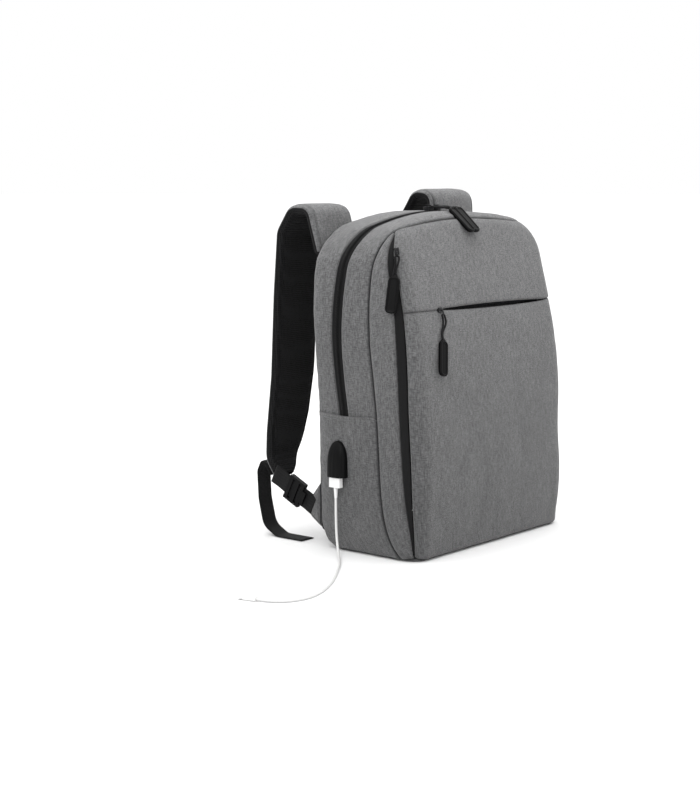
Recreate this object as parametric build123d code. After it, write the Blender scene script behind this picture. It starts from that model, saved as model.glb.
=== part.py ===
from build123d import *
import math
import os

# A soft laptop daypack with a side charging port, in millimetres.
# +Z is up, -Y is the front, +Y is the side worn against the back.
# The origin is the middle of the flat base, under the bag.

# ---- Driving dimensions -------------------------------------------------------------------

WIDTH = 308.0            # over the side walls
HEIGHT = 400.0           # base to the top of the crown
BACK_Y = 75.0            # outer face of the back panel
FABRIC = 3.0             # padded fabric wall
FRONT_FILLET = 22.0      # rounding of the upright front corners
TOP_CORNER_R = 55.0      # rounding of the upper left corner, seen from the front
CROWN_R = 420.0          # gentle arch of the left half of the top, seen from the front
RIGHT_CORNER_R = 45.0    # the right corner is squarer
RIGHT_CROWN_R = 800.0    # and the right half of the top is nearly level

DOME_R = 643.0           # upper front face, seen from the side
DOME_Y = 569.0           # centre of that arc
DOME_Z = 143.0
DOME_TOP_Z = 360.0       # where the arc turns into the top rounding

FOLD_Z = 165.0           # line where the front opens, and mouth of the side pockets
FOLD_GAP = 0.3
SLIT_Z = (286.0, 291.5)  # mouth of the front pocket
SLIT_END_X = 138.0
ZIP_HALF = 6.5           # half the width of the main zip with its tapes
COIL_HALF = 3.0
ZIP_GAP = 0.2
CORNER_CUT_X = -118.0    # the corner zip and panel lie beyond this, on the left

POCKET_WALL_X = 150.0    # side wall behind the side pocket
POCKET_FACE_X = 160.5    # outer face of the side pocket
POCKET_SKIN = 2.0

STRAP_INNER_X = 75.0
STRAP_OUTER_X = 150.0
STRAP_LAYERS = {"cover": (5.0, 3.0), "foam": (3.0, -3.0), "mesh": (-3.0, -5.0)}
STRAP_ROOT = (84, 366)
WEBBING = 24.0
WEBBING_THICK = 1.8
WEBBING_RISE = 26.0      # degrees, from the anchor tab up to the ladder lock

SLIDER = (10.0, 10.0, 5.0)     # along the zip, across it, and proud of it
CORD_D = 2.4
CORD_GAUGE = 6.0               # between the two runs of a pull's cord
GRIP = (13.5, 42.0, 5.0)

CABLE_D = 3.0
FLOOR_Z = 1.6

FAR = 400.0              # beyond every face, for cutting

# ---- Curves, in the side view (y, z) ------------------------------------------------------

SEAM_LOW = [(-52, 0), (-38, 15), (-27, 40), (-22, 69), (-19, 116), (-16, FOLD_Z)]
SEAM_HIGH = [(-16, FOLD_Z), (-11, 209), (-5, 255), (-4, 301), (-9, 345), (-18, 420)]
ZIP_LINE = [(32, FOLD_Z), (37, 205), (40, 252), (38, 299), (31, 350), (22, 420)]
STRIP_FRONT = [(-73, -5), (-67, 61), (-64, 120), (-61, FOLD_Z), (-58, 237), (-52, 300),
               (-40, 345), (-27, 374)]
STRIP_REAR = [(-70, -5), (-58, 61), (-52.5, 120), (-49.5, FOLD_Z), (-45, 245), (-39, 302),
              (-29, 342), (-26.5, 374)]

STRAP_PATHS = {
    -1: [STRAP_ROOT, (96, 403), (122, 404), (141, 376), (147, 300), (152, 200), (160, 130),
         (161, 98), (149, 77)],
    1: [STRAP_ROOT, (93, 419), (117, 421), (138, 384), (147, 300), (152, 200), (160, 130),
        (161, 98), (149, 77)],
}
STRAP_RADII = [12, 14, 20, 60, 60, 60, 30]
STRAP_TAPER = [(STRAP_OUTER_X, 430), (STRAP_INNER_X, 430), (76, 214), (80, 151), (85, 127),
               (91, 113), (108, 85), (124, 72), (STRAP_OUTER_X, 72)]
TAIL_PATH = [(158, 77), (172, 97), (180, 80), (178, 45), (170, 12), (150, 1.2), (108, 1.2)]
TAIL_RADII = [4, 8, 30, 20, 12]

CABLE_ROUTE = [(-166.5, 37.5, 66), (-166.5, 37.5, 40), (-170, 33, 15), (-183, 19, FLOOR_Z),
               (-211, -6, FLOOR_Z), (-243, -29, FLOOR_Z), (-279, -53, FLOOR_Z),
               (-316, -72, FLOOR_Z), (-348, -81, FLOOR_Z), (-375, -73, FLOOR_Z),
               (-388, -56, FLOOR_Z), (-391, -43, 2.2)]

# ---- Helpers ------------------------------------------------------------------------------


def write(name, shape):
    """Save one sub-part under its node name."""
    solids = shape.solids() if hasattr(shape, "solids") else shape
    export_step(Compound(solids) if len(solids) > 1 else solids[0], f"parts/{name}.step")


def side_prism(points, x0, x1):
    """Closed outline in the side view (y, z), from x0 to x1."""
    face = make_face(Polyline(*points, close=True))
    return extrude(Plane.YZ.offset(x0) * face, x1 - x0)


def front_prism(points, y0, y1):
    """Closed outline in the front view (x, z), from y0 to y1."""
    face = make_face(Polyline(*points, close=True))
    return extrude(Plane.XZ.offset(-y1) * face, y1 - y0)


def block_between(low, high):
    """Box between two corners."""
    size = [b - a for a, b in zip(low, high)]
    centre = [(a + b) / 2 for a, b in zip(low, high)]
    return Pos(*centre) * Box(*size)


def shifted(curve, dy):
    """A side-view curve moved along Y."""
    return [(y + dy, z) for y, z in curve]


def strip(curve_a, curve_b, x0=-FAR, x1=FAR):
    """Everything between two side-view curves, both listed from low to high."""
    return side_prism(curve_a + curve_b[::-1], x0, x1)


def clipped(curve, z_low, z_high):
    """The part of a side-view curve between two heights, with ends worked out."""
    def at(z):
        for (y0, z0), (y1, z1) in zip(curve, curve[1:]):
            if z0 <= z <= z1:
                return (y0 + (y1 - y0) * (z - z0) / (z1 - z0), z)
        raise ValueError(z)
    inner = [p for p in curve if z_low < p[1] < z_high]
    return [at(z_low)] + inner + [at(z_high)]


def parallel(points, radii, distance):
    """A side-view polyline moved to its left, with the radii its corners then have."""
    normals = []
    for (y0, z0), (y1, z1) in zip(points, points[1:]):
        length = math.hypot(y1 - y0, z1 - z0)
        normals.append(((z0 - z1) / length, (y1 - y0) / length))
    moved = [(points[0][0] + normals[0][0] * distance, points[0][1] + normals[0][1] * distance)]
    new_radii = []
    for point, radius, a, b in zip(points[1:-1], radii, normals, normals[1:]):
        scale = distance / (1 + a[0] * b[0] + a[1] * b[1])
        moved.append((point[0] + (a[0] + b[0]) * scale, point[1] + (a[1] + b[1]) * scale))
        left_turn = a[0] * b[1] - a[1] * b[0] > 0
        new_radii.append(radius - distance if left_turn else radius + distance)
    last = normals[-1]
    moved.append((points[-1][0] + last[0] * distance, points[-1][1] + last[1] * distance))
    return moved, new_radii


def band(points, radii, outer, inner, x0, x1):
    """A flat band of fabric that follows a side-view path, between two offsets of it."""
    edges = []
    ends = []
    for distance in (outer, inner):
        moved, new_radii = parallel(points, radii, distance)
        curve = FilletPolyline(*moved, radius=new_radii)
        edges += curve.edges()
        ends.append((moved[0], moved[-1]))
    edges.append(Line(ends[0][0], ends[1][0]))
    edges.append(Line(ends[0][1], ends[1][1]))
    return extrude(Plane.YZ.offset(x0) * make_face(edges), x1 - x0)


def mirrored_pair(shape, side):
    """The shape as drawn for the left side (-1), or its mirror image for the right (+1)."""
    return shape if side < 0 else mirror(shape, Plane.YZ)


# ---- The bag's body -----------------------------------------------------------------------

def upper_edges(side, corner_r, crown_r, inset):
    """One half of the top in the front view, from the upright side to the middle."""
    corner_x = WIDTH / 2 - corner_r
    crown_z = HEIGHT - crown_r
    corner_z = crown_z + math.sqrt((crown_r - corner_r) ** 2 - corner_x ** 2)
    corner = corner_r - inset
    crown = crown_r - inset
    angle = math.atan2(corner_z - crown_z, corner_x)
    between = (angle + math.pi / 2) / 2

    def on_crown(turn):
        return (side * crown * math.cos(turn), crown_z + crown * math.sin(turn))

    start = (side * (WIDTH / 2 - inset), corner_z)
    middle = (side * (corner_x + corner * math.cos(angle / 2)), corner_z + corner * math.sin(angle / 2))
    edges = [
        Line((side * (WIDTH / 2 - inset), inset), start),
        ThreePointArc(start, middle, on_crown(angle)),
        ThreePointArc(on_crown(angle), on_crown(between), (0, HEIGHT - inset)),
    ]
    return edges


def front_outline(inset):
    """Front view of the bag: upright sides, round upper corners and an arched top."""
    edges = upper_edges(-1, TOP_CORNER_R, CROWN_R, inset)
    edges += upper_edges(1, RIGHT_CORNER_R, RIGHT_CROWN_R, inset)
    half = WIDTH / 2 - inset
    return make_face(edges + [Line((-half, inset), (half, inset))])


def dome_y(z, inset=0.0):
    """Front face of the bag above its belly, at a height."""
    return DOME_Y - math.sqrt((DOME_R - inset) ** 2 - (z - DOME_Z) ** 2)


def side_outline(inset):
    """Side view of the bag: flat base, full belly, raked front, level top, upright back."""
    i = inset
    foot = (dome_y(DOME_Z, i), 16)
    belly = (dome_y(DOME_Z, i) - 3, 82)
    waist = (dome_y(148, i), 148)
    brow = (dome_y(DOME_TOP_Z, i), DOME_TOP_Z)
    top = (-6, 397 - i)
    level = HEIGHT + 2 - i
    heel = (40, i)
    back = BACK_Y - i
    return make_face([
        Line(heel, (-62, i)),
        Line((-62, i), foot),
        ThreePointArc(foot, belly, waist),
        ThreePointArc(waist, (dome_y(255, i), 255), brow),
        ThreePointArc(brow, (-25 + 0.7 * i, 384 - 0.7 * i), top),
        Line(top, (20, level)),
        Line((20, level), (64, level)),
        ThreePointArc((64, level), (72 - 0.7 * i, 398 - 0.7 * i), (back, 390)),
        Line((back, 390), (back, 36)),
        ThreePointArc((back, 36), (40 + (35 - i) * 0.7071, 36 - (36 - i) * 0.7071), heel),
    ])


def square_body(inset):
    """The bag's outer shape, moved inwards, before its front corners are rounded."""
    front = extrude(Plane.XZ.offset(-2 * BACK_Y) * front_outline(inset), 4 * BACK_Y)
    side = extrude(Plane.YZ.offset(-WIDTH) * side_outline(inset), 2 * WIDTH)
    return front & side


def round_body(inset):
    """The bag's outer shape, moved inwards, with rounded upright front corners."""
    body = square_body(inset)
    corners = [e for e in body.edges()
               if (e @ 0.5).Y < -10 and abs((e @ 0.5).X) > 100 and (e @ 0.5).Z > 20]
    return fillet(corners, FRONT_FILLET - inset)


def low_body(inset):
    """The bag below the fold: a plan with rounded front corners, cut to the side view."""
    half = WIDTH / 2 - inset
    front = dome_y(DOME_Z) - 3 + inset
    slab = block_between((-half, front, inset), (half, BACK_Y - inset, FOLD_Z - FOLD_GAP))
    corners = [e for e in slab.edges().filter_by(Axis.Z) if (e @ 0.5).Y < 0]
    slab = fillet(corners, FRONT_FILLET - inset)
    side = extrude(Plane.YZ.offset(-WIDTH) * side_outline(inset), 2 * WIDTH)
    return slab & side


SHELL = round_body(0) - round_body(FABRIC)
LOW_SHELL = low_body(0) - low_body(FABRIC)
ZIP_SHELL = square_body(0.6) - square_body(2.4)
COIL_SHELL = square_body(-0.4) - square_body(0.6)

ABOVE_FOLD = block_between((-FAR, -FAR, FOLD_Z), (FAR, FAR, FAR + 200))
BELOW_FOLD = block_between((-FAR, -FAR, -FAR), (FAR, FAR, FOLD_Z - FOLD_GAP))
IN_FRONT_HIGH = side_prism([(-FAR, FOLD_Z)] + SEAM_HIGH + [(-FAR, 420)], -FAR, FAR)
IN_FRONT_LOW = side_prism([(-FAR, -20), (-52, -20)] + SEAM_LOW + [(-FAR, FOLD_Z)], -FAR, FAR)
STRIP_ZONE = strip(STRIP_FRONT, STRIP_REAR, -FAR, CORNER_CUT_X)
CORNER_ZONE = side_prism(STRIP_REAR + [(-22, 420), (-18, 420)] + SEAM_HIGH[::-1][1:]
                         + SEAM_LOW[::-1][1:] + [(-52, -5)], -FAR, CORNER_CUT_X)

# ---- Front section, which opens forward along the fold ------------------------------------


def build_front_section():
    """Everything sewn to the front half of the main zip."""
    gusset_zone = strip(SEAM_HIGH, shifted(ZIP_LINE, -ZIP_HALF))
    write("front_gusset", SHELL & gusset_zone & ABOVE_FOLD)
    tape = ZIP_SHELL & strip(shifted(ZIP_LINE, -ZIP_HALF), shifted(ZIP_LINE, -ZIP_GAP))
    coil = COIL_SHELL & strip(shifted(ZIP_LINE, -COIL_HALF), shifted(ZIP_LINE, -ZIP_GAP))
    write("main_zip_tape_front", (tape + coil) & ABOVE_FOLD)

    face = (SHELL & IN_FRONT_HIGH) - CORNER_ZONE - STRIP_ZONE
    upper = block_between((-FAR, -FAR, SLIT_Z[1]), (FAR, FAR, 2 * FAR))
    lower = block_between((-FAR, -FAR, FOLD_Z), (FAR, FAR, SLIT_Z[0]))
    lower += block_between((SLIT_END_X, -FAR, SLIT_Z[0]), (FAR, FAR, SLIT_Z[1]))
    write("upper_front_panel", face & upper)
    write("front_pocket_panel", face & lower)
    write("corner_panel", SHELL & CORNER_ZONE & ABOVE_FOLD)
    write("corner_zip_tape", SHELL & STRIP_ZONE & ABOVE_FOLD)

    # The pocket's zip lies behind its mouth, one tape above and one below.
    heights = (270, 280, 290, 300, 306)
    behind = strip([(dome_y(z, FABRIC + 0.4), z) for z in heights],
                   [(dome_y(z, FABRIC + 1.9), z) for z in heights], CORNER_CUT_X + 2, 130)
    above = block_between((-FAR, -FAR, SLIT_Z[1]), (FAR, FAR, SLIT_Z[1] + 12))
    below = block_between((-FAR, -FAR, SLIT_Z[0] - 12), (FAR, FAR, SLIT_Z[0]))
    write("front_zip_tapes", (behind & above) + (behind & below))

    heights = (FOLD_Z + 2, 210, 250, 290, 325)
    lining = strip([(dome_y(z, 17), z) for z in heights], [(dome_y(z, 18.5), z) for z in heights],
                   -138, 138)
    write("front_pocket_lining", lining)


# ---- Back section, which everything else hangs from ---------------------------------------


def build_back_section():
    """Back, base, lower sides and the rear half of the main zip."""
    behind_back = block_between((-FAR, BACK_Y - FABRIC, 36), (FAR, FAR, 2 * FAR))
    write("back_panel", square_body(0) & behind_back)
    rear_zone = strip(shifted(ZIP_LINE, ZIP_HALF), [(BACK_Y - FABRIC, FOLD_Z), (BACK_Y - FABRIC, 420)])
    write("rear_gusset", SHELL & rear_zone & ABOVE_FOLD)
    tape = ZIP_SHELL & strip(shifted(ZIP_LINE, ZIP_GAP), shifted(ZIP_LINE, ZIP_HALF))
    coil = COIL_SHELL & strip(shifted(ZIP_LINE, ZIP_GAP), shifted(ZIP_LINE, COIL_HALF))
    write("main_zip_tape_rear", (tape + coil) & ABOVE_FOLD)

    inner = WIDTH / 2 - FABRIC
    base_zone = block_between((-inner, -52, -1), (inner, FAR, 36))
    low_front = LOW_SHELL & IN_FRONT_LOW
    base = (LOW_SHELL & base_zone) - IN_FRONT_LOW
    write("base_panel", base)
    write("base_board", block_between((-146, -50, FABRIC), (146, 40, FABRIC + 2)))
    write("lower_front_panel", low_front - STRIP_ZONE - CORNER_ZONE)
    write("lower_corner_panel", LOW_SHELL & CORNER_ZONE)
    write("lower_corner_zip_tape", LOW_SHELL & STRIP_ZONE)

    cushion = [(0, 0), (9, 6), (9, 219), (0, 225)]
    column = side_prism([(BACK_Y + y, 112 + z) for y, z in cushion], 20, 118)
    lumbar = side_prism([(BACK_Y, 40), (BACK_Y + 9, 46), (BACK_Y + 9, 98), (BACK_Y, 104)], -118, 118)
    write("back_pads", Compound([column.solid(), mirror(column, Plane.YZ).solid(), lumbar.solid()]))

    yoke = front_prism([(-120, 346), (-112, 340), (112, 340), (120, 346), (116, 380), (-116, 380)],
                       BACK_Y, BACK_Y + 3)
    write("shoulder_yoke", yoke)

    sleeve = block_between((-132, 48, 38), (132, BACK_Y - FABRIC, 290))
    sleeve -= block_between((-129, 51, 41), (129, BACK_Y, 300))
    write("laptop_sleeve", sleeve)


def build_side(side):
    """Lower side wall and its open-topped pocket, drawn for the left side."""
    label = "left" if side < 0 else "right"
    rear_y = BACK_Y - FABRIC
    zone = side_prism(SEAM_LOW + [(rear_y, FOLD_Z), (rear_y, 30), (60, 7), (40, 0)],
                      -POCKET_FACE_X, -POCKET_WALL_X + FABRIC)
    low = zone & BELOW_FOLD
    wall = low & block_between((-POCKET_WALL_X, -FAR, 0), (-POCKET_WALL_X + FABRIC, FAR, FAR))
    wall -= base_clearance()
    write(f"lower_side_{label}", mirrored_pair(wall, side))

    tray = low & block_between((-POCKET_FACE_X, -FAR, 0), (-POCKET_WALL_X, FAR, FAR))
    tray -= base_clearance()
    cavity_zone = [(y + 4, z + (4 if z < 10 else 0)) for y, z in SEAM_LOW]
    cavity_zone += [(rear_y - 3, FOLD_Z), (rear_y - 3, 32), (59, 11), (40, 5)]
    cavity = side_prism(cavity_zone, -POCKET_FACE_X + POCKET_SKIN, -POCKET_WALL_X)
    write(f"side_pocket_{label}", mirrored_pair(tray - cavity, side))


def base_clearance():
    """Room that the sides leave for the base, front and corner panels."""
    return LOW_SHELL & (IN_FRONT_LOW + block_between((-151, -60, -1), (151, FAR, 36)))


# ---- Charging port, plug and lead ---------------------------------------------------------

HOOD_Y = 37.5
HOOD_WIDTH = 27.0
HOOD_Z = (91.0, 134.0)
HOOD_DEPTH = 12.0
PORT_X = -POCKET_FACE_X - 6.0


def build_port():
    """Rubber hood with a downward socket, and the plug that is in it."""
    half = HOOD_WIDTH / 2
    shoulder = HOOD_Z[1] - 18
    hood_face = make_face([
        Line((HOOD_Y - half, HOOD_Z[0]), (HOOD_Y + half, HOOD_Z[0])),
        Line((HOOD_Y + half, HOOD_Z[0]), (HOOD_Y + half - 1, shoulder)),
        ThreePointArc((HOOD_Y + half - 1, shoulder), (HOOD_Y, HOOD_Z[1]), (HOOD_Y - half + 1, shoulder)),
        Line((HOOD_Y - half + 1, shoulder), (HOOD_Y - half, HOOD_Z[0])),
    ])
    hood = extrude(Plane.YZ.offset(-POCKET_FACE_X - HOOD_DEPTH) * hood_face, HOOD_DEPTH)
    outer = [e for e in hood.edges() if abs((e @ 0.5).X + POCKET_FACE_X + HOOD_DEPTH) < 0.1]
    hood = chamfer(outer, 3)
    socket_room = block_between((PORT_X - 4, HOOD_Y - 8, 80), (PORT_X + 4, HOOD_Y + 8, 114))
    write("usb_hood", hood - socket_room)

    socket = block_between((PORT_X - 4, HOOD_Y - 8, HOOD_Z[0] + 2), (PORT_X + 4, HOOD_Y + 8, 114))
    socket -= block_between((PORT_X - 2.5, HOOD_Y - 6.3, 80), (PORT_X + 2.5, HOOD_Y + 6.3, 108))
    write("usb_socket", socket)

    body = block_between((PORT_X - 4, HOOD_Y - 8.2, 79), (PORT_X + 4, HOOD_Y + 8.2, 90.7))
    body = fillet(body.edges().filter_by(Axis.Z), 2)
    contact = block_between((PORT_X - 2.25, HOOD_Y - 6, 90.7), (PORT_X + 2.25, HOOD_Y + 6, 103))
    start = Vector(*CABLE_ROUTE[0])
    relief = Pos(PORT_X, HOOD_Y, 79) * Rot(180, 0, 0) * Cone(2.6, 1.7, 79 - start.Z,
                                                          align=(Align.CENTER, Align.CENTER, Align.MIN))
    write("usb_plug", (body + contact + relief) - block_between((-FAR, -FAR, 0), (0, FAR, start.Z)))


def build_cable():
    """The charging lead: straight runs joined by arcs as large as the runs allow."""
    points = [Vector(*p) for p in CABLE_ROUTE]
    radii = []
    for before, here, after in zip(points, points[1:], points[2:]):
        run = min((here - before).length, (after - here).length)
        turn = math.radians((here - before).get_angle(after - here))
        radii.append(0.45 * run / math.tan(turn / 2))
    path = FilletPolyline(*points, radius=radii)
    wire = Wire(path.edges())
    section = Plane(origin=wire @ 0, z_dir=wire % 0) * Circle(CABLE_D / 2)
    tube = sweep(section, path=wire)
    write("charging_cable", tube)
    expected = math.pi * CABLE_D ** 2 / 4 * wire.length
    print("cable length", round(wire.length, 1), "volume ratio", round(tube.volume / expected, 4))
    print("cable radii", [round(r, 1) for r in radii])
    print("cable runs", [round((b - a).length, 1) for a, b in zip(points, points[1:])])

    end = points[-1]
    heading = (end - points[-2]).normalized()
    flat = Plane(origin=end, z_dir=Vector(heading.X, heading.Y, 0).normalized(),
                 x_dir=Vector(0, 0, 1))
    shell = extrude(flat * RectangleRounded(4.2, 7.6, 1.6), 15)
    tongue = extrude(flat.offset(15) * Rectangle(1.6, 6.4), 6.5)
    write("phone_connector", (shell + tongue) - tube)


# ---- Shoulder straps ----------------------------------------------------------------------

LOCK_CENTRE = (113.5, 63.5)
LOCK_LENGTH = 25.0
LOCK_WIDTH = 32.0
WEBBING_X = (-153.8, -152.0)
END_WEBBING_X = (-151.8, -150.0)


def inclined(y_from, y_to, width, x0, x1):
    """A flat piece along the webbing's rise, between two distances from the lock's centre."""
    piece = block_between((x0, y_from, -width / 2), (x1, y_to, width / 2))
    return Pos(0, *LOCK_CENTRE) * Rot(WEBBING_RISE, 0, 0) * piece


def build_strap(side):
    """One padded shoulder strap with its ladder lock and webbing, drawn for the left side."""
    label = "left" if side < 0 else "right"
    taper = front_prism([(-x, z) for x, z in STRAP_TAPER], -FAR, FAR)
    for layer, (outer, inner) in STRAP_LAYERS.items():
        solid = band(STRAP_PATHS[side], STRAP_RADII, outer, inner, -STRAP_OUTER_X, -STRAP_INNER_X)
        write(f"strap_{label}_{layer}", mirrored_pair(solid & taper, side))

    half = LOCK_LENGTH / 2
    lock = inclined(-half, half, LOCK_WIDTH, WEBBING_X[0] - 2, END_WEBBING_X[1])
    for slot in (-6.0, 4.5):
        lock -= inclined(slot - 2.2, slot + 2.2, WEBBING + 2, -FAR, 0)
    lock += inclined(-half - 6, -half, 16, WEBBING_X[0] - 3, WEBBING_X[0] - 0.5)
    write(f"ladder_lock_{label}", mirrored_pair(lock, side))
    end = inclined(half, half + 27, WEBBING, *END_WEBBING_X)
    write(f"strap_{label}_end_webbing", mirrored_pair(end, side))
    tail = band(TAIL_PATH, TAIL_RADII, WEBBING_THICK / 2, -WEBBING_THICK / 2, -149, -149 + WEBBING)
    write(f"webbing_tail_{label}", mirrored_pair(tail, side))

    # The bag's own end of the adjuster: a sewn triangle and a length of webbing.
    tab = side_prism([(BACK_Y, 72), (85, 62), (94, 43), (88, 37), (BACK_Y, 30)], -152, -149)
    write(f"anchor_tab_{label}", mirrored_pair(tab, side))
    fixed = inclined(-half - 22, -half - 0.5, WEBBING, *WEBBING_X)
    write(f"lower_webbing_{label}", mirrored_pair(fixed, side))


# ---- Carry handle -------------------------------------------------------------------------

HANDLE_DROP = [(-42, 378), (-38, 346), (38, 346), (42, 378)]
HANDLE_THICK = 5.0
HANDLE_Y = (79.5, 93.5)


def build_handle():
    """Short webbing loop between the straps, hanging down behind the bag."""
    edges = []
    ends = []
    for distance in (HANDLE_THICK / 2, -HANDLE_THICK / 2):
        moved, radii = parallel(HANDLE_DROP, [14, 14], distance)
        edges += FilletPolyline(*moved, radius=radii).edges()
        ends.append((moved[0], moved[-1]))
    edges.append(Line(ends[0][0], ends[1][0]))
    edges.append(Line(ends[0][1], ends[1][1]))
    face = make_face(edges)
    write("carry_handle", extrude(Plane.XZ.offset(-HANDLE_Y[1]) * face, HANDLE_Y[1] - HANDLE_Y[0]))


# ---- Zip sliders and their pulls ----------------------------------------------------------


def pull_parts(cord_length, droop):
    """Cord loop and rubber grip, hanging from the origin along -Z, facing -Y.

    The grip turns by droop degrees from the cord, away from its face."""
    half = CORD_GAUGE / 2
    corner = CORD_GAUGE / 2 - 0.6
    path = FilletPolyline((-half, 0, -cord_length), (-half, 0, 0), (half, 0, 0),
                          (half, 0, -cord_length), radius=corner)
    wire = Wire(path.edges())
    section = Plane(origin=wire @ 0, z_dir=wire % 0) * Circle(CORD_D / 2)
    cord = sweep(section, path=wire)
    width, length, thick = GRIP
    grip = Pos(0, 0, -length / 2) * Box(width, thick, length)
    grip = fillet(grip.edges().filter_by(Axis.Y), width / 2 - 1.5)
    grip = chamfer(grip.faces().sort_by(Axis.Y)[0].edges(), 1.2)
    grip = Pos(0, 0, -cord_length) * Rot(droop, 0, 0) * grip
    return cord - grip, grip


def slider_body():
    """Zip slider lying in the XY plane, its nose along X."""
    length, width, height = SLIDER
    body = Pos(0, 0, height / 2) * Box(length, width, height)
    body = fillet(body.edges().filter_by(Axis.Z), 2.5)
    eye = Pos(0, 0, height) * Box(2, width - 3, 2.4, align=(Align.CENTER, Align.CENTER, Align.MIN))
    return body + eye


MAIN_SLIDER_X = {"left": -7.5, "right": 7.5}
MAIN_SLIDER_Y = 23.0
MAIN_SLIDER_ARC = {"left": CROWN_R, "right": RIGHT_CROWN_R}
CORNER_SLIDER_AT = (-145.0, -35.0, 358.0)
FRONT_SLIDER_AT = (-92.0, -59.3, 288.7)


def build_sliders():
    """Two sliders on the main zip, one on the corner zip and one on the front pocket."""
    for label, x in MAIN_SLIDER_X.items():
        arc = MAIN_SLIDER_ARC[label]
        angle = math.degrees(math.asin(x / arc))
        seat = Pos(0, MAIN_SLIDER_Y, HEIGHT - arc) * Rot(0, angle, 0) * Pos(0, 0, arc + 0.7)
        write(f"main_slider_{label}", seat * slider_body())
        cord, grip = pull_parts(26, 38)
        place = seat * Pos(0, -SLIDER[1] / 2 - 1.6, 5.2) * Rot(-88, 0, 0)
        write(f"main_pull_cord_{label}", place * cord)
        write(f"main_pull_grip_{label}", place * grip)

    seat = Pos(*CORNER_SLIDER_AT) * Rot(0, 0, -45) * Rot(90, 0, 0) * Rot(0, 0, 90)
    write("corner_slider", seat * slider_body())
    cord, grip = pull_parts(22, 0)
    place = Pos(-149, -39, 350.5) * Rot(0, 11, 0) * Rot(0, 0, -62)
    write("corner_pull_cord", place * cord)
    write("corner_pull_grip", place * grip)

    seat = Pos(*FRONT_SLIDER_AT) * Rot(90, 0, 0)
    write("front_slider", seat * slider_body())
    cord, grip = pull_parts(30, 0)
    place = Pos(FRONT_SLIDER_AT[0], -63, 282) * Rot(-12.5, 0, 0) * Rot(0, 16, 0)
    write("front_pull_cord", place * cord)
    write("front_pull_grip", place * grip)


def main():
    """Build every sub-part."""
    os.makedirs("parts", exist_ok=True)
    build_front_section()
    build_back_section()
    for side in (-1, 1):
        build_side(side)
        build_strap(side)
    build_port()
    build_cable()
    build_handle()
    build_sliders()


main()
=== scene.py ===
import math

import bpy
import numpy as np
from mathutils import Matrix, Vector, noise


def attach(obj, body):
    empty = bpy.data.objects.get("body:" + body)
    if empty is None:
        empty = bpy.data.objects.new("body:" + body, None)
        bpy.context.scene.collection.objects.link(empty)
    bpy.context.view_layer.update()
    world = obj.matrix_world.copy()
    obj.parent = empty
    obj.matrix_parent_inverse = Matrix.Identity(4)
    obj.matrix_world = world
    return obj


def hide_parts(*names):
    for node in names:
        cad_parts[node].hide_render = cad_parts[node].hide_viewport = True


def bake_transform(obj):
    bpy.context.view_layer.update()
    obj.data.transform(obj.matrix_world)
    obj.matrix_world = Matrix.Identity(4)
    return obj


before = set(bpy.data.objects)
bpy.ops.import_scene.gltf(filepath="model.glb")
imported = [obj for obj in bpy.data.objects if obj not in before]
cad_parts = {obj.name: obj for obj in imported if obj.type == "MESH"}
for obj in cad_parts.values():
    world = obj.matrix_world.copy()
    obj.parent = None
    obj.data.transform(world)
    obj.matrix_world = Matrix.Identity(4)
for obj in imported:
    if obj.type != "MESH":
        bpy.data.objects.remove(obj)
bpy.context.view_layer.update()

# Shapes are worked out in millimetres, and mesh_object() turns them into metres.
MM = 0.001

# ---- Driving sizes, shared with the CAD model ---------------------------------------------

HALF_WIDTH = 154.0
HEIGHT = 400.0
LEFT_TOP = (55.0, 420.0)     # corner radius and crown radius
RIGHT_TOP = (45.0, 800.0)
DOME_R = 643.0
DOME_Y = 569.0
DOME_Z = 143.0
BACK_Y = 75.0
FOLD_Z = 165.0
SLIT_Z = (286.0, 291.5)
ZIP_HALF = 7.2
CABLE_D = 3.0

# Side-view curves (y, z) of the seams.
SEAM = [(-52, 0), (-38, 15), (-27, 40), (-22, 69), (-19, 116), (-16, 165), (-11, 209),
        (-5, 255), (-4, 301), (-9, 345), (-17, 380), (-25, 396), (-26, 420)]
ZIP_LINE = [(32, 165), (37, 205), (40, 252), (38, 299), (31, 350), (22, 388), (22, 420)]
STRIP_FRONT = [(-73, 0), (-67, 61), (-64, 120), (-61, 165), (-57.5, 237), (-51, 300),
               (-40, 345), (-26, 372)]
STRIP_REAR = [(-69.5, 0), (-57, 61), (-51, 120), (-48, 165), (-43, 245), (-36.5, 302),
              (-28, 342), (-21.5, 372)]


# ---- Camera -------------------------------------------------------------------------------

def build_camera():
    """Eye level a little above the bag, from its front left."""
    azimuth = math.radians(-50.34)
    pitch = math.radians(7.69)
    data = bpy.data.cameras.new("camera")
    data.lens = 73.07
    data.sensor_width = 36.0
    data.clip_end = 50.0
    camera = bpy.data.objects.new("camera", data)
    camera.location = (-1.6054, -1.1771, 0.4369)
    camera.rotation_euler = (math.pi / 2 - pitch, 0, azimuth)
    bpy.context.collection.objects.link(camera)
    bpy.context.scene.camera = camera


# ---- Materials ----------------------------------------------------------------------------

def new_material(name):
    """An empty node material with its shader and output."""
    material = bpy.data.materials.new(name)
    material.use_nodes = True
    tree = material.node_tree
    tree.nodes.clear()
    output = tree.nodes.new("ShaderNodeOutputMaterial")
    shader = tree.nodes.new("ShaderNodeBsdfPrincipled")
    tree.links.new(shader.outputs[0], output.inputs[0])
    return material, tree, shader


def node(tree, kind, **values):
    """A node, with its named inputs or properties set."""
    made = tree.nodes.new(kind)
    for key, value in values.items():
        if hasattr(made, key):
            setattr(made, key, value)
        else:
            made.inputs[key.replace("_", " ")].default_value = value
    return made


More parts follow.
